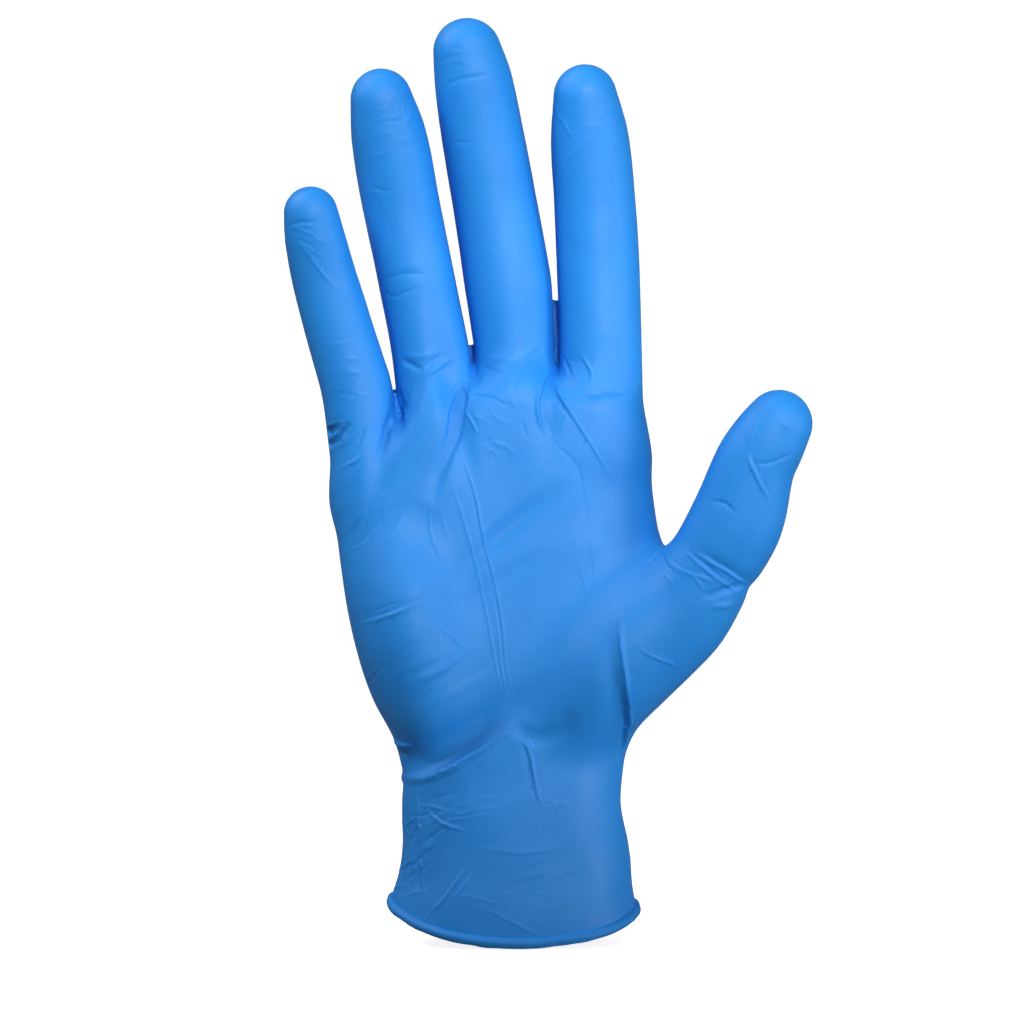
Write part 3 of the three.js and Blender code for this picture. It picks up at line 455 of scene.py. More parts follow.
FOLDS = {
    # Wrist, heel and ball of the thumb
    "wrist": fold(
        [(400, 777), (412, 779), (430, 777), (455, 766), (480, 751), (500, 736), (520, 719), (540, 703)],
        width=3.6, height=1.45, valley=0.3, peak=0.35),
    "wrist_swell": fold(
        [(412, 785), (432, 783), (455, 774), (480, 760), (500, 745), (520, 728), (540, 711), (556, 694)],
        width=10, height=0.6),
    "above_wrist": fold(
        [(398, 752), (415, 759), (440, 751), (465, 735), (490, 715), (510, 699), (530, 684)],
        width=11, height=-1.4, peak=0.3),
    "below_wrist": fold([(508, 722), (535, 738), (562, 730), (572, 708)], width=6, height=-0.7, peak=0.6),
    "wrist_back": fold(
        [(401, 777), (436, 783), (478, 781), (521, 773)],
        width=4, height=1.0, peak=0.05, side="back"),
    "heel": fold([(395, 741), (403, 745), (414, 747)], width=2.4, height=0.8, peak=0.25),
    "below_heel": fold([(397, 750), (408, 754), (422, 752)], width=4.0, height=-0.7, peak=0.2),
    "pinch": fold(
        [(622, 616), (621, 640), (623, 660), (626, 690), (628, 714), (626, 735), (620, 765)],
        width=2.3, height=1.3, valley=-0.5),
    "beside_pinch": fold([(613, 628), (613, 660), (617, 700), (617, 750)], width=7, height=-0.5),
    # Middle of the palm: two long fine lines from the middle stall to the wrist, and short ones beside them
    "palm_1": fold(
        [(449, 474), (464, 522), (475, 561), (485, 607), (493, 649), (501, 688), (510, 711)],
        width=1.2, height=0.15, valley=0.06, peak=0.3),
    "palm_2": fold(
        [(458, 446), (474, 491), (485, 545), (493, 576), (501, 615), (506, 665), (513, 699), (519, 712)],
        width=1.2, height=0.16, valley=-0.08, peak=0.4),
    "palm_3": fold(
        [(430, 503), (430, 530), (437, 553), (445, 588), (455, 619)],
        width=1.2, height=0.17, valley=-0.08),
    "palm_4": fold([(439, 511), (445, 528), (451, 545)], width=1.1, height=0.09),
    "palm_5": fold([(490, 590), (498, 630), (501, 665), (507, 700)], width=1.1, height=0.1, peak=0.7),
    "palm_6": fold([(589, 530), (593, 555), (596, 584)], width=1.1, height=0.12),
    "palm_7": fold([(578, 560), (583, 578), (589, 595)], width=1.1, height=0.1),
    "below_wrist_1": fold(
        [(512, 728), (527, 747), (533, 770), (538, 797), (543, 809)], width=1.5, height=0.36, valley=-0.15),
    "below_wrist_2": fold([(518, 721), (530, 743), (534, 755)], width=1.2, height=0.16),
    "below_wrist_3": fold([(538, 800), (553, 803), (557, 812), (551, 819)], width=1.1, height=0.12),
    # Broad soft hollows that run down the palm towards the heel, and the slack between them
    "hollow_1": fold(
        [(572, 480), (545, 500), (520, 519), (485, 549), (458, 576), (440, 600)],
        width=7, height=-0.9),
    "hollow_2": fold([(556, 550), (520, 567), (485, 591), (452, 620)], width=6, height=-0.5),
    "hollow_3": fold(
        [(431, 507), (420, 530), (408, 553), (394, 575), (380, 590)],
        width=12, height=-0.5, peak=0.4),
    "slack_1": fold([(399, 482), (378, 510), (355, 545)], width=4.5, height=0.5),
    "slack_2": fold([(372, 505), (355, 522), (343, 535)], width=3.5, height=0.2),
    "slack_3": fold([(450, 560), (425, 588), (390, 600)], width=7, height=0.35),
    # The side of the palm below the little stall
    "side_1": fold(
        [(360, 624), (380, 619), (397, 613), (416, 605), (435, 598)],
        width=1.7, height=0.34, valley=0.16),
    "side_2": fold([(354, 617), (376, 611), (397, 604), (420, 599)], width=1.3, height=-0.12),
    "side_3": fold([(435, 624), (455, 641), (474, 655)], width=1.3, height=0.22, valley=-0.06),
    "band_1": fold(
        [(408, 686), (426, 677), (443, 668), (462, 653), (480, 641)],
        width=3.6, height=0.4, valley=0.2),
    "band_2": fold([(433, 704), (455, 692), (474, 680), (493, 668)], width=3.4, height=0.32, valley=0.15),
    # Web between ring and middle stall, and on down the palm
    "web_ring": fold(
        [(467, 369), (464, 384), (460, 402), (456, 424), (447, 452), (439, 473), (430, 503)],
        width=5.2, height=-2.0, peak=0.3),
    "web_ring_edge": fold(
        [(468, 368), (459, 384), (450, 402), (446, 420), (444, 436)],
        width=1.6, height=0.5, valley=0.3, peak=0.3),
    "web_ring_brow": fold([(466, 380), (464, 405), (462, 425), (457, 446)], width=1.6, height=0.35, peak=0.5),
    "web_ring_crease": fold([(466, 411), (472, 421), (478, 434)], width=1.3, height=0.28, valley=0.12),
    # Web between little and ring stall, and the outer root of the little stall
    "web_little": fold([(391, 414), (386, 430), (383, 444), (378, 466)], width=3, height=-0.8, peak=0.3),
    "web_little_facet": fold([(398, 405), (401, 416), (404, 430)], width=3.6, height=-0.5, peak=0.3),
    "little_1": fold([(325, 434), (333, 430), (342, 425)], width=3.0, height=-1.4, peak=0.25),
    "little_2": fold([(326, 446), (333, 443), (342, 433), (351, 421)], width=2.8, height=-1.1, peak=0.3),
    "little_3": fold([(338, 449), (346, 442), (358, 430)], width=1.6, height=0.25),
    "little_4": fold([(341, 470), (352, 463), (360, 458), (369, 453)], width=1.3, height=0.28, valley=-0.12),
    "little_5": fold([(358, 450), (364, 438), (368, 426), (374, 412)], width=1.3, height=0.26, valley=0.12),
    "little_6": fold([(360, 434), (366, 424), (370, 416)], width=1.2, height=0.16),
    "little_7": fold([(288, 226), (303, 222), (319, 222)], width=1.4, height=-0.2),
    "little_8": fold([(298, 240), (324, 275), (342, 297)], width=1.3, height=0.16),
    # Ring stall
    "ring_1": fold([(381, 281), (403, 274), (426, 274)], width=1.6, height=-0.3),
    "ring_2": fold([(382, 288), (395, 297), (403, 293), (423, 286)], width=1.5, height=-0.25),
    "ring_3": fold([(402, 358), (411, 364), (424, 370)], width=2.4, height=-0.55, peak=0.5),
    "ring_4": fold([(424, 369), (432, 362), (441, 353)], width=2.0, height=-0.4),
    "ring_5": fold([(420, 379), (436, 368), (452, 357)], width=2.2, height=0.4, valley=-0.2),
    "ring_6": fold([(405, 353), (418, 357), (436, 352)], width=2.2, height=0.3),
    "ring_7": fold([(397, 388), (403, 402), (408, 415)], width=3.0, height=-0.4),
    "ring_8": fold([(418, 384), (410, 402), (402, 425)], width=2.6, height=0.3),
    "ring_9": fold([(430, 380), (424, 400), (418, 422)], width=2.6, height=0.22),
    "ring_10": fold([(358, 85), (356, 112), (361, 140)], width=1.5, height=0.18),
    "ring_11": fold([(372, 186), (382, 189), (393, 191)], width=1.4, height=-0.18),
    # Roots of the middle and index stall
    "root_1": fold([(480, 367), (492, 370), (505, 375)], width=1.4, height=-0.32),
    "root_2": fold([(486, 362), (505, 358), (524, 352)], width=3.4, height=0.4),
    "root_3": fold([(543, 346), (530, 358), (519, 374), (511, 394)], width=2.4, height=-0.5, peak=0.4),
    "root_4": fold([(468, 398), (480, 396), (493, 399), (508, 407)], width=1.2, height=-0.24),
    "root_5": fold([(489, 376), (482, 383), (475, 391)], width=1.2, height=0.2),
    "root_6": fold(
        [(552, 366), (545, 377), (540, 389), (537, 408), (541, 425), (549, 437)],
        width=2.0, height=0.65, valley=0.45, peak=0.4),
    "root_7": fold(
        [(549, 437), (562, 451), (575, 463), (581, 480), (585, 508), (589, 530)],
        width=1.1, height=-0.11),
    "root_8": fold(
        [(555, 372), (558, 391), (566, 405), (577, 421)],
        width=1.7, height=0.5, valley=-0.35, peak=0.4),
    "root_9": fold(
        [(570, 411), (589, 441), (601, 461), (613, 481)],
        width=1.2, height=0.2, valley=-0.08, peak=0.2),
    "root_10": fold([(562, 354), (569, 368), (575, 386)], width=1.7, height=-0.35, peak=0.4),
    "root_11": fold([(580, 352), (587, 363), (592, 373), (590, 386)], width=1.5, height=0.28, valley=-0.15),
    "root_12": fold([(620, 305), (610, 325), (600, 347), (592, 370)], width=1.2, height=0.13),
    "root_13": fold([(574, 399), (593, 398), (612, 395), (628, 391)], width=1.5, height=-0.5),
    "root_14": fold([(576, 402), (593, 401), (612, 398), (628, 394)], width=1.3, height=0.16),
    "root_15": fold([(565, 361), (574, 361), (583, 362)], width=1.2, height=-0.14),
    "root_16": fold([(628, 396), (636, 388), (642, 376)], width=1.4, height=0.25),
    # Index stall
    "index_1": fold(
        [(594, 76), (602, 120), (609, 163), (613, 217), (616, 268), (620, 300)], width=1.1, height=-0.14),
    "index_2": fold([(553, 105), (564, 122), (576, 140)], width=1.2, height=0.16),
    "index_3": fold([(594, 133), (572, 155), (558, 176), (556, 195)], width=1.2, height=0.2),
    "index_4": fold([(625, 135), (616, 143), (609, 153)], width=1.2, height=0.16),
    "index_5": fold([(585, 160), (570, 175), (560, 190)], width=1.2, height=0.12),
    # Middle stall
    "middle_1": fold([(445, 88), (458, 80), (472, 77), (490, 74)], width=1.7, height=-0.26),
    "middle_2": fold([(449, 145), (461, 142), (474, 143)], width=1.4, height=-0.16),
    # Thumb stall and its root
    "thumb_1": fold([(770, 401), (760, 417), (754, 430), (749, 450)], width=1.4, height=0.24),
    "thumb_2": fold([(747, 453), (757, 478), (769, 503)], width=1.6, height=0.4, valley=0.2),
    "thumb_3": fold([(749, 463), (762, 463), (776, 460), (795, 451)], width=1.4, height=-0.28),
    "thumb_4": fold([(779, 423), (786, 426), (792, 431)], width=1.2, height=0.18),
    "thumb_5": fold([(713, 501), (724, 503), (736, 511)], width=1.8, height=-0.35),
    "thumb_6": fold([(694, 552), (708, 560), (726, 571), (751, 587)], width=1.5, height=0.36, valley=0.3),
    "thumb_7": fold([(686, 552), (702, 566), (720, 581), (740, 593)], width=1.5, height=0.36, valley=0.25),
    "thumb_8": fold([(668, 562), (685, 572), (700, 577), (716, 582)], width=1.3, height=0.22, valley=0.12),
    "thumb_9": fold([(700, 597), (718, 592), (735, 586), (747, 584)], width=3.0, height=-0.8, peak=0.6),
    "thumb_10": fold([(706, 607), (722, 605), (738, 602)], width=2.6, height=0.4),
    "web_thumb_1": fold([(661, 552), (652, 562), (642, 574)], width=1.5, height=-0.4, peak=0.2),
    "web_thumb_2": fold([(660, 557), (655, 563), (648, 568)], width=1.3, height=0.3),
    "web_thumb_3": fold([(655, 545), (646, 556), (636, 570)], width=1.3, height=-0.22, peak=0.2),
    "web_thumb_4": fold([(664, 556), (668, 566), (676, 573)], width=1.4, height=-0.3, peak=0.2),
    "thumb_ball": fold([(638, 648), (652, 656), (668, 662), (681, 668)], width=1.4, height=0.2, valley=-0.06),
    # Cuff
    "cuff_1": fold([(416, 790), (420, 815), (421, 850), (423, 894)], width=1.8, height=0.5, valley=-0.2),
    "cuff_2": fold([(426, 809), (443, 823), (468, 832)], width=1.5, height=0.32, valley=0.12),
    "cuff_3": fold([(477, 855), (461, 877), (444, 900), (425, 920)], width=1.6, height=0.36),
    "cuff_4": fold([(483, 862), (468, 883), (452, 903)], width=1.2, height=0.2),
    "cuff_5": fold([(474, 846), (500, 851), (527, 853), (570, 846)], width=2.0, height=0.15),
    "cuff_6": fold([(449, 895), (474, 898), (498, 905)], width=1.4, height=0.12),
    "cuff_7": fold([(485, 909), (507, 920), (529, 931), (542, 939)], width=1.4, height=0.14),
}
LINE_STEP = 1.0  # between two places on a fold's line
VALLEY_PLACE = 1.15  # where a valley's bottom lies, as a share of half the fold's width


def smooth_line(pixels):
    """Pixels on a smooth curve through those of a row, in steps of about LINE_STEP."""
    pixels = np.array(pixels, float)
    travelled = np.r_[0, np.cumsum(np.linalg.norm(np.diff(pixels, axis=0), axis=1))]
    rows = {"travelled": travelled, "x": pixels[:, 0], "y": pixels[:, 1]}
    at = ticks(0, travelled[-1], LINE_STEP / MM_PER_PIXEL)
    return np.stack([along(rows, "travelled", name, at) for name in ("x", "y")], 1)


def laid_lines(rows):
    """The folds' lines on the film, with the direction that is to a line's left at each of its places."""
    tracks = [smooth_line(row["line"]) for row in rows]
    on_back = [np.full(len(track), row["side"] == "back") for track, row in zip(tracks, rows)]
    spots = seen(np.concatenate(tracks), np.concatenate(on_back))
    outward = outward_at(spots)
    ends = np.cumsum([len(track) for track in tracks])[:-1]
    lines = []
    for row, here, out in zip(rows, np.split(spots, ends), np.split(outward, ends)):
        left = np.cross(out, np.gradient(here, axis=0))
        lines.append({**row, "spots": here, "left": left / np.linalg.norm(left, axis=1, keepdims=True)})
    return lines


def place_on(line, points, reach):
    """The points within reach of a fold's line, with their places to its left and along it."""
    spots = line["spots"]
    box = (points > spots.min(0) - reach) & (points < spots.max(0) + reach)
    near = np.flatnonzero(box.all(1))
    here = points[near]
    best = np.full(len(near), np.inf)
    share = np.zeros(len(near))
    signed = np.zeros(len(near))
    for i in range(len(spots) - 1):
        axis = spots[i + 1] - spots[i]
        t = np.clip((here - spots[i]) @ axis / (axis @ axis), 0, 1)
        gap = here - spots[i] - t[:, None] * axis
        away = np.linalg.norm(gap, axis=1)
        closer = away < best
        best[closer] = away[closer]
        share[closer] = (i + t[closer]) / (len(spots) - 1)
        signed[closer] = np.copysign(away, gap @ line["left"][i])[closer]
    kept = best < reach
    return near[kept], signed[kept], share[kept]


def swell(u):
    """1 in the middle, down to 0 at -1 and 1 and beyond."""
    return np.maximum(1 - u * u, 0) ** 2


def lift_of(line, signed, share):
    half = line["width"] / 2
    grown = np.where(share < line["peak"], share / line["peak"], (1 - share) / (1 - line["peak"]))
    foot = math.copysign(half * VALLEY_PLACE, line["valley"])
    across = line["height"] * swell(signed / half) - abs(line["valley"]) * swell((signed - foot) / half)
    return across * np.sin(np.clip(grown, 0, 1) * math.pi / 2)


# Patches of small crumples, as ellipses in the photograph: each has its own number of short creases that run
# within spread degrees of a direction, counted from rightwards towards the top
CRUMPLES = table(
    "x y across up count length width height direction spread",
    (408, 862, 24, 42, 30, 8, 1.4, 0.24, 60, 50),
    (450, 815, 40, 26, 14, 9, 1.4, 0.18, 20, 40),
    (618, 872, 9, 26, 10, 5, 1.4, 0.22, 20, 30),
    (552, 812, 14, 14, 5, 4, 1.1, 0.14, 40, 60),
    (560, 880, 60, 30, 10, 12, 1.6, 0.10, 5, 25),
    (388, 125, 24, 34, 16, 6, 1.2, 0.12, 40, 60),
    (470, 60, 26, 26, 8, 6, 1.2, 0.09, 10, 40),
    (318, 240, 22, 30, 8, 6, 1.2, 0.10, 10, 40),
    (590, 100, 26, 36, 8, 7, 1.2, 0.09, 20, 50),
    (570, 400, 44, 40, 8, 7, 1.2, 0.09, 60, 50),
    (500, 425, 26, 30, 12, 5, 1.3, 0.12, -20, 60),
    (345, 385, 20, 70, 12, 6, 1.3, 0.12, 5, 20),
    (400, 660, 50, 50, 8, 14, 1.8, 0.12, 30, 25),
    (370, 500, 30, 60, 8, 12, 1.8, 0.12, 55, 25),
    (690, 560, 40, 24, 10, 8, 1.3, 0.14, -30, 20),
    (640, 575, 12, 20, 8, 7, 1.2, 0.14, 55, 15),
)


# How a crumple may differ from its row: shares of the row's length, height and width, and a bend as a share
# of half the length. The share called SUNKEN sinks in instead.
CRUMPLE_LENGTH = (0.6, 1.3)
CRUMPLE_HEIGHT = (0.5, 1.2)
CRUMPLE_WIDTH = (0.8, 1.3)
CRUMPLE_BEND = (-0.25, 0.25)
SUNKEN = 0.35


def crumple_lines():
    rng = np.random.default_rng(11)
    lines = []
    for x, y, across, up, count, length, width, height, direction, spread in zip(*CRUMPLES.values()):
        for _ in range(int(count)):
            reach, turn = math.sqrt(rng.random()), rng.uniform(0, 2 * math.pi)
            middle = np.array([x + across * reach * math.cos(turn), y + up * reach * math.sin(turn)])
            angle = math.radians(direction + rng.uniform(-spread, spread))
            half = length * rng.uniform(*CRUMPLE_LENGTH) / MM_PER_PIXEL / 2
            step = half * np.array([math.cos(angle), -math.sin(angle)])
            bend = rng.uniform(*CRUMPLE_BEND) * np.array([step[1], -step[0]])
            size = height * rng.uniform(*CRUMPLE_HEIGHT) * rng.choice([-1, 1], p=[SUNKEN, 1 - SUNKEN])
            wide = width * rng.uniform(*CRUMPLE_WIDTH)
            lines.append(fold([middle - step, middle + bend, middle + step], wide, size))
    return lines


LINES = laid_lines([*FOLDS.values(), *crumple_lines()])

# Slack of the film: soft waves of several sizes, with the height they reach on the cuff, palm and stalls
WAVES = table(
    "size cuff palm stall",
    (22.0, 0.45, 0.30, 0.12),
    (9.0, 0.28, 0.10, 0.06),
    (4.0, 0.07, 0.02, 0.02),
)
CUFF_TOP, STALL_FOOT = 45.0, 135.0
CHANGE = 10.0  # the waves change over this height below and above those two
NOISE_SHIFT = 0.37  # share of their size by which the waves of each size are moved, so that none line up
FOLD_REACH = 1.1  # how far from its line a fold's lift is worked out, as a share of its width
NOISE_SIDE = 32
NOISE = np.random.default_rng(5).uniform(-1, 1, (NOISE_SIDE,) * 3)


def noise(points, size):
    """Smooth noise from -1 to 1 whose waves are about the given size."""
    place = points / size
    cell = np.floor(place).astype(int)
    t = place - cell
    t = t * t * (3 - 2 * t)
    total = np.zeros(len(points))
    for corner in np.ndindex(2, 2, 2):
        share = np.prod(np.where(corner, t, 1 - t), axis=1)
        total += share * NOISE[tuple(((cell + corner) % NOISE_SIDE).T)]
    return total


def lift_at(points):
    """How far the folds, crumples and waves move each point of the film outwards."""
    out = np.zeros(len(points))
    into = np.zeros(len(points))
    for line in LINES:
        near, signed, share = place_on(line, points, line["width"] * FOLD_REACH)
        lift = lift_of(line, signed, share)
        out[near] = np.maximum(out[near], lift)
        into[near] = np.minimum(into[near], lift)
    waves = np.zeros(len(points))
    heights = (CUFF_TOP - CHANGE, CUFF_TOP + CHANGE, STALL_FOOT - CHANGE, STALL_FOOT + CHANGE)
    for size, cuff, palm, stall in zip(*WAVES.values()):
        reach = np.interp(points[:, 2], heights, (cuff, palm, palm, stall))
        waves += reach * noise(points + size * NOISE_SHIFT, size)
    return out + into + waves


# Longest edge of the mesh where no fold lies, on the palm side and on the back
PLAIN_EDGE = {"palm": 1.9, "back": 3.4}
BACK_FROM = 4.0  # depth at which the back begins

# Longest edge within a fold's fine reach, as a share of the fold's width, and the shortest that is asked for
FOLD_EDGE = 0.27
FINEST_EDGE = 0.42
FINE_REACH = 0.75  # as a share of the fold's width
REFINE_TURNS = 3


def wanted_edge(points):
    edge = np.where(points[:, 1] < BACK_FROM, PLAIN_EDGE["palm"], PLAIN_EDGE["back"])
    for line in LINES:
        near, _, _ = place_on(line, points, line["width"] * FINE_REACH)
        edge[near] = np.minimum(edge[near], max(line["width"] * FOLD_EDGE, FINEST_EDGE))
    return edge


def halves_of(quads, points):
    """Four-sided faces as triangles, split along the shorter diagonal."""
    first = np.linalg.norm(points[quads[:, 0]] - points[quads[:, 2]], axis=1)
    second = np.linalg.norm(points[quads[:, 1]] - points[quads[:, 3]], axis=1)
    along_first = quads[first <= second]
    along_second = quads[first > second]
    return np.concatenate([
        along_first[:, [0, 1, 2]], along_first[:, [0, 2, 3]],
        along_second[:, [0, 1, 3]], along_second[:, [1, 2, 3]],
    ])


def edges_of(faces):
    """Each edge once, and the numbers of every face's three edges."""
    pairs = np.sort(np.concatenate([faces[:, [0, 1]], faces[:, [1, 2]], faces[:, [2, 0]]]), axis=1)
    most = faces.max() + 1
    keys, number = np.unique(pairs[:, 0] * most + pairs[:, 1], return_inverse=True)
    return np.stack([keys // most, keys % most], 1), number.reshape(3, -1).T


def turned(faces, first):
    return np.take_along_axis(faces, (first[:, None] + np.arange(3)) % 3, axis=1)


def refined(points, faces, level):
    """Halves every edge that is longer than wanted where it lies, once in each turn."""
    for _ in range(REFINE_TURNS):
        edges, number = edges_of(faces)
        middles = points[edges].mean(1)
        length = np.linalg.norm(points[edges[:, 0]] - points[edges[:, 1]], axis=1)
        split = (length > wanted_edge(middles)) & (middles[:, 2] > SPAN["foot"] + OUTER_NET["height_step"])
        fresh = np.full(len(edges), -1)
        fresh[split] = len(points) + np.arange(split.sum())
        points = np.concatenate([points, settle(middles[split], level, turns=2)])
        cuts = fresh[number]
        count = (cuts >= 0).sum(1)
        made = [faces[count == 0]]
        a, b, c = faces[count == 3].T
        ab, bc, ca = cuts[count == 3].T
        made += [np.stack(corners, 1) for corners in ((a, ab, ca), (ab, b, bc), (ca, bc, c), (ab, bc, ca))]
        first = np.argmax(cuts[count == 1] >= 0, axis=1)
        a, b, c = turned(faces[count == 1], first).T
        ab, _, _ = turned(cuts[count == 1], first).T
        made += [np.stack(corners, 1) for corners in ((a, ab, c), (ab, b, c))]
        first = (np.argmax(cuts[count == 2] < 0, axis=1) + 1) % 3
        a, b, c = turned(faces[count == 2], first).T
        ab, bc, _ = turned(cuts[count == 2], first).T
        made += [np.stack(corners, 1) for corners in ((ab, b, bc), (a, ab, bc), (a, bc, c))]
        faces = np.concatenate(made)
    return points, faces


def hem_height(points):
    x, y = points[:, 0], points[:, 1]
    return HEM["rise"] + HEM["lean"] * x + HEM["tilt"] * y - HEM["sag"] * y * y


SNAP = 0.35  # points nearer than this to a cut are moved onto it


def above(points, faces, rise):
    """The part of a mesh that lies higher above the rim than rise, cut off cleanly there."""
    points = points.copy()
    height = points[:, 2] - hem_height(points) - rise
    close = np.abs(height) < SNAP
    points[close, 2] -= height[close]
    height[close] = 0
    faces = faces[height[faces].max(1) > 0]
    count = (height[faces] >= 0).sum(1)
    whole = faces[count == 3]
    one = turned(faces[count == 1], np.argmax(height[faces[count == 1]] >= 0, axis=1))
    two = turned(faces[count == 2], (np.argmax(height[faces[count == 2]] < 0, axis=1) + 1) % 3)

    def cut(a, b):
        share = (height[a] / (height[a] - height[b]))[:, None]
        return points[a] * (1 - share) + points[b] * share

    made = [points[whole]]
    a, b, c = one.T
    made.append(np.stack([points[a], cut(a, b), cut(a, c)], 1))
    a, b, c = two.T
    made.append(np.stack([points[a], points[b], cut(b, c)], 1))
    made.append(np.stack([points[a], cut(b, c), cut(a, c)], 1))
    return welded(np.concatenate(made))


WELD = 0.0001  # points this close are one


def welded(corners):
    """Triangles as points and rows of three, with points in one place joined and empty faces left out."""
    flat = corners.reshape(-1, 3)
    keys = np.round(flat / WELD).astype(np.int64)
    _, first, number = np.unique(keys, axis=0, return_index=True, return_inverse=True)
    faces = number.reshape(-1, 3)
    a, b, c = faces.T
    return flat[first], faces[(a != b) & (b != c) & (c != a)]


def rim_of(points, faces):
    """The points on a mesh's open edge, in order round the cuff."""
    edges, number = edges_of(faces)
    open_edges = edges[np.bincount(number.ravel(), minlength=len(edges)) == 1]
    rim = np.unique(open_edges)
    rim = rim[points[rim, 2] < CUFF_TOP]
    return rim[np.argsort(np.arctan2(points[rim, 1], points[rim, 0]))]


BEAD_SLACK = 0.12  # share of its radius by which each size of wave changes the bead's thickness
BEAD_WAVES = (3.5, 9.0)


def bead_rings(rim_points):
    """Rings of points round the rolled bead, from the outer face round its foot to the inner face."""
    outward = outward_at(rim_points)
    outward[:, 2] = 0
    outward /= np.linalg.norm(outward, axis=1, keepdims=True)
    upward = np.array([0, 0, 1.0])
    inner_side = WALL / 2 + BEAD_OUTSET
    middle = rim_points + outward * (BEAD_OUTSET - WALL / 2) - upward * BEAD_RADIUS
    radius = BEAD_RADIUS * (1 + BEAD_SLACK * sum(noise(rim_points, size) for size in BEAD_WAVES))
    start = math.acos((WALL / 2 - BEAD_OUTSET) / BEAD_RADIUS)
    end = -2 * math.pi + math.acos(-inner_side / BEAD_RADIUS)
    rings = [rim_points]
    for turn in np.linspace(start, end, BEAD_SIDES + 1)[1:]:
        rings.append(middle + radius[:, None] * (outward * math.cos(turn) + upward * math.sin(turn)))
    return rings


def band_between(ring_a, ring_b):
    """Faces between two rings with the same number of points, given as the points' numbers."""
    next_a, next_b = np.roll(ring_a, -1), np.roll(ring_b, -1)
    return np.concatenate([np.stack([ring_a, ring_b, next_a], 1), np.stack([next_a, ring_b, next_b], 1)])


def zipped(points, ring_a, ring_b):
    """Faces between two rings round the cuff that may have different numbers of points."""
    angle_a = np.unwrap(np.arctan2(points[ring_a, 1], points[ring_a, 0]))
    angle_b = np.unwrap(np.arctan2(points[ring_b, 1], points[ring_b, 0]))
    start = int(np.argmin(np.abs(angle_b - angle_a[0])))
    ring_b = np.roll(ring_b, -start)
    angle_b = np.unwrap(np.roll(angle_b, -start))
    faces = []
    i = k = 0
    while i < len(ring_a) or k < len(ring_b):
        next_a = angle_a[i + 1] if i + 1 < len(ring_a) else angle_a[0] + 2 * math.pi
        next_b = angle_b[k + 1] if k + 1 < len(ring_b) else angle_b[0] + 2 * math.pi
        here_a, here_b = ring_a[i % len(ring_a)], ring_b[k % len(ring_b)]
        if k >= len(ring_b) or (i < len(ring_a) and next_a <= next_b):
            faces.append((here_a, here_b, ring_a[(i + 1) % len(ring_a)]))
            i += 1
        else:
            faces.append((here_a, here_b, ring_b[(k + 1) % len(ring_b)]))
            k += 1
    return np.array(faces)


def film_mesh():
    """The whole film as one closed shell: outer face, bead, inner face."""
    base, quads = net_of(OUTER_NET)
    base, faces = refined(base, halves_of(quads, base), OUTER_NET["level"])
    outer = base + outward_at(base) * lift_at(base)[:, None]
    outer, outer_faces = above(outer, faces, BEAD_RADIUS)
    inner, inner_quads = net_of(INNER_NET)
    inner_side = WALL / 2 + BEAD_OUTSET
    inner_rise = math.sqrt(BEAD_RADIUS**2 - inner_side**2)
    inner, inner_faces = above(inner, halves_of(inner_quads, inner), inner_rise)
    rim = rim_of(outer, outer_faces)
    rings = bead_rings(outer[rim])
    points = np.concatenate([outer, *rings[1:], inner])
    numbers = [rim]
    for i in range(1, len(rings)):
        numbers.append(len(outer) + (i - 1) * len(rim) + np.arange(len(rim)))
    shift = len(points) - len(inner)
    inner_rim = rim_of(inner, inner_faces) + shift
    made = [outer_faces, inner_faces[:, ::-1] + shift]
    made += [band_between(a, b) for a, b in zip(numbers[:-1], numbers[1:])]
    made.append(zipped(points, numbers[-1], inner_rim))
    return points, np.concatenate(made)


# Colours and finish
NITRILE = (0.014, 0.268, 0.80, 1)
NITRILE_DEEP = (0.011, 0.243, 0.75, 1)
NITRILE_ROUGHNESS = (0.50, 0.60)
NITRILE_IOR = 1.5
NITRILE_SHEEN = 0.45
PAPER = (0.93, 0.93, 0.93, 1)
PAPER_BRIGHT = (0.95, 0.95, 0.95, 1)
PAPER_GLOW = 0.85
NOISE_RANGE = (0.3, 0.7)  # values of a noise texture that are spread over a whole range
SHARP = math.radians(50)


class Nodes:
    """Makes and links the nodes of one material."""

    def __init__(self, name):
        self.material = bpy.data.materials.new(name)
        self.material.use_nodes = True
        self.tree = self.material.node_tree
        self.shader = self.tree.nodes["Principled BSDF"]
        self.place = self.add("ShaderNodeTexCoord").outputs["Object"]

    def add(self, kind, **settings):
        node = self.tree.nodes.new(kind)
        for name, value in settings.items():
            setattr(node, name, value)
        return node

    def link(self, output, socket):
        self.tree.links.new(output, socket)

    def noise(self, per_metre, detail=3.0, rough=0.5):
        node = self.add("ShaderNodeTexNoise")
        self.link(self.place, node.inputs["Vector"])
        node.inputs["Scale"].default_value = per_metre
        node.inputs["Detail"].default_value = detail
        node.inputs["Roughness"].default_value = rough
        return node.outputs["Fac"]

    def ranged(self, value, low, high):
        node = self.add("ShaderNodeMapRange")
        self.link(value, node.inputs["Value"])
        node.inputs["From Min"].default_value = NOISE_RANGE[0]
        node.inputs["From Max"].default_value = NOISE_RANGE[1]
        node.inputs["To Min"].default_value = low
        node.inputs["To Max"].default_value = high
        return node.outputs["Result"]

    def mixed(self, share, first, second):
        node = self.add("ShaderNodeMix", data_type="RGBA")
        self.link(share, node.inputs["Factor"])
        node.inputs["A"].default_value = first
        node.inputs["B"].default_value = second
        return node.outputs["Result"]

    def bump(self, height, distance, strength, below=None):
        node = self.add("ShaderNodeBump")
        self.link(height, node.inputs["Height"])
        node.inputs["Distance"].default_value = distance
        node.inputs["Strength"].default_value = strength
        if below:
            self.link(below, node.inputs["Normal"])
        return node.outputs["Normal"]


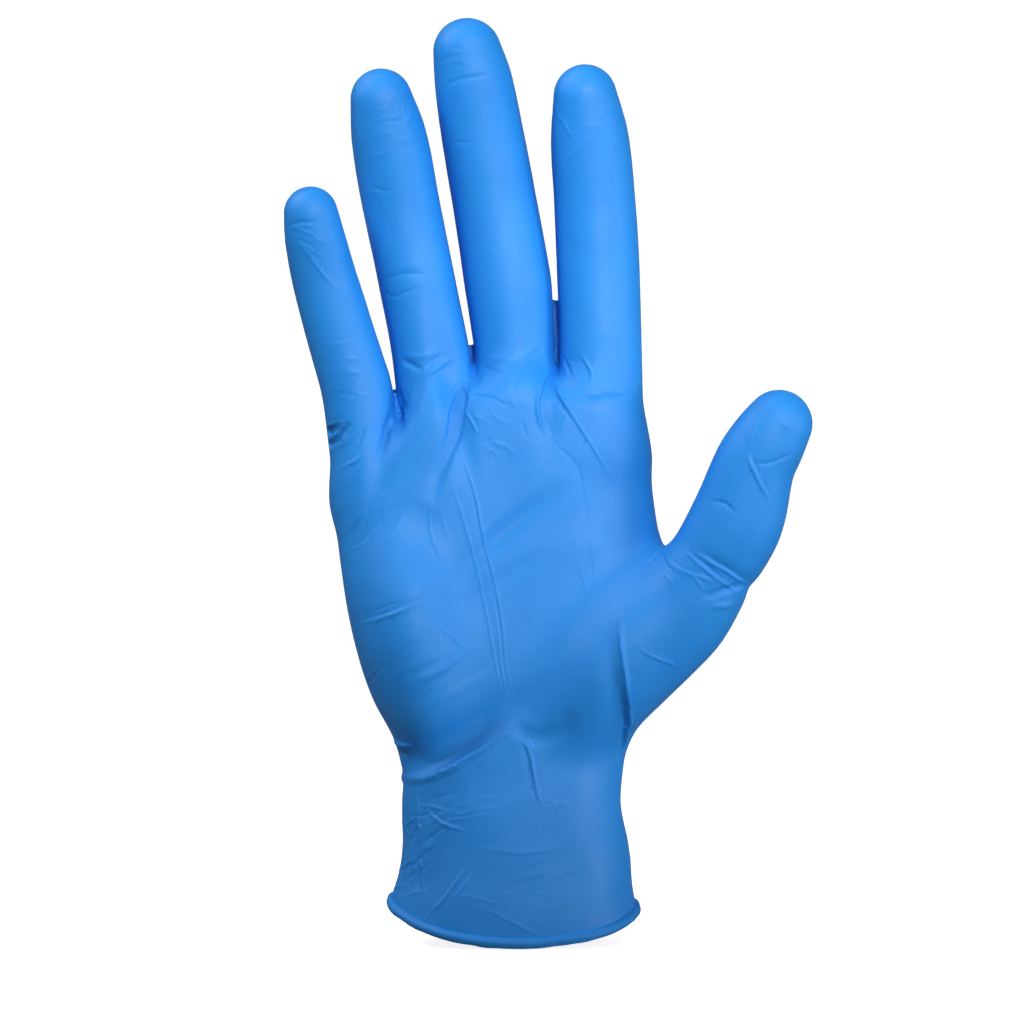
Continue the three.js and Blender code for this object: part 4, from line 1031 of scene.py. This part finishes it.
def nitrile_film():
    """Satin blue nitrile: faint mottling, uneven gloss, soft waves and the fine pebble of a dipped film."""
    nodes = Nodes("nitrile_film_satin")
    mottling = nodes.ranged(nodes.noise(70, detail=4), 0, 1)
    nodes.link(nodes.mixed(mottling, NITRILE_DEEP, NITRILE), nodes.shader.inputs["Base Color"])
    uneven = nodes.ranged(nodes.noise(110), *NITRILE_ROUGHNESS)
    nodes.link(uneven, nodes.shader.inputs["Roughness"])
    nodes.shader.inputs["IOR"].default_value = NITRILE_IOR
    nodes.shader.inputs["Specular IOR Level"].default_value = NITRILE_SHEEN
    waves = nodes.bump(nodes.noise(320, detail=4, rough=0.55), distance=0.00035, strength=0.22)
    pebble = nodes.bump(nodes.noise(2400), distance=0.0001, strength=0.4, below=waves)
    nodes.link(pebble, nodes.shader.inputs["Normal"])
    return nodes.material


def white_paper():
    """Matt white paper of the backdrop."""
    nodes = Nodes("backdrop_paper")
    nodes.link(nodes.mixed(nodes.noise(30), PAPER, PAPER_BRIGHT), nodes.shader.inputs["Base Color"])
    nodes.shader.inputs["Roughness"].default_value = 0.9
    nodes.shader.inputs["Emission Color"].default_value = (1, 1, 1, 1)
    nodes.shader.inputs["Emission Strength"].default_value = PAPER_GLOW
    return nodes.material


def mesh_object(name, points, faces, material):
    mesh = bpy.data.meshes.new(name)
    mesh.from_pydata((np.asarray(points) * MM).tolist(), [], np.asarray(faces).tolist())
    mesh.update()
    mesh.shade_smooth()
    mesh.materials.append(material)
    obj = bpy.data.objects.new(name, mesh)
    bpy.context.scene.collection.objects.link(obj)
    return obj


points, faces = film_mesh()
film = mesh_object("glove_film", points, faces, nitrile_film())
film.data.set_sharp_from_angle(angle=SHARP)
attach(film, "root")
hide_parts("glove")

# Backdrop: a floor just under the rim that sweeps up behind the glove
FLOOR_GAP = 0.2
FLOOR = points[:, 2].min() - FLOOR_GAP
SWEEP = dict(front=-1500.0, bend=1500.0, radius=300.0, top=1500.0, half=1600.0, steps=16)


def sweep_profile():
    bend, radius = SWEEP["bend"], SWEEP["radius"]
    profile = [(SWEEP["front"], FLOOR)]
    for turn in np.linspace(0, math.pi / 2, SWEEP["steps"]):
        profile.append((bend + radius * math.sin(turn), FLOOR + radius * (1 - math.cos(turn))))
    return [*profile, (bend + radius, SWEEP["top"])]


profile = np.array(sweep_profile())
sheet = []
for side in (-SWEEP["half"], SWEEP["half"]):
    sheet += [(side, y, z) for y, z in profile]
count = len(profile)
strips = [(i, i + 1, count + i + 1, count + i) for i in range(count - 1)]
backdrop = mesh_object("backdrop", sheet, strips, white_paper())
backdrop.visible_diffuse = False
backdrop.visible_glossy = False


def in_metres(place):
    return Vector(place) * MM


def area_light(name, place, aim, size, watts, spread=180):
    """A soft box at a place in millimetres, turned towards its aim, that shines within spread degrees."""
    light = bpy.data.lights.new(name, "AREA")
    light.shape = "RECTANGLE"
    light.size, light.size_y = size[0] * MM, size[1] * MM
    light.energy = watts
    light.spread = math.radians(spread)
    lamp = bpy.data.objects.new(name, light)
    lamp.location = np.array(place) * MM
    direction = in_metres(aim) - in_metres(place)
    lamp.rotation_euler = direction.to_track_quat("-Z", "Y").to_euler()
    bpy.context.scene.collection.objects.link(lamp)
    return lamp


MIDDLE = (5, 0, 110)
AMBIENT = 0.16
area_light("key", (120, -450, 300), (20, 0, 190), (220, 220), 0.18, spread=40)
area_light("key_low", (520, -270, 90), (66, -5, 92), (220, 220), 0.062, spread=20)
area_light("side", (-747, -196, 888), MIDDLE, (450, 450), 5.2)
area_light("top", (-323, -88, 1156), MIDDLE, (450, 450), 1.6)
area_light("cuff", (560, -220, 20), (24, 0, -12), (160, 160), 0.009, spread=16)

world = bpy.data.worlds.new("studio")
bpy.context.scene.world = world
world.use_nodes = True
sky = world.node_tree.nodes["Background"]
sky.inputs["Color"].default_value = (1, 1, 1, 1)
sky.inputs["Strength"].default_value = AMBIENT

camera_data = bpy.data.cameras.new("camera")
camera_data.sensor_width = SENSOR_WIDTH
camera_data.lens = SENSOR_WIDTH * CAMERA_AWAY / (PHOTO_SIDE * MM_PER_PIXEL)
camera = bpy.data.objects.new("camera", camera_data)
camera.location = (CAMERA_X * MM, -CAMERA_AWAY * MM, CAMERA_Z * MM)
camera.rotation_euler = (math.pi / 2, 0, 0)
bpy.context.scene.collection.objects.link(camera)
bpy.context.scene.camera = camera
bpy.context.scene.view_settings.view_transform = "Standard"
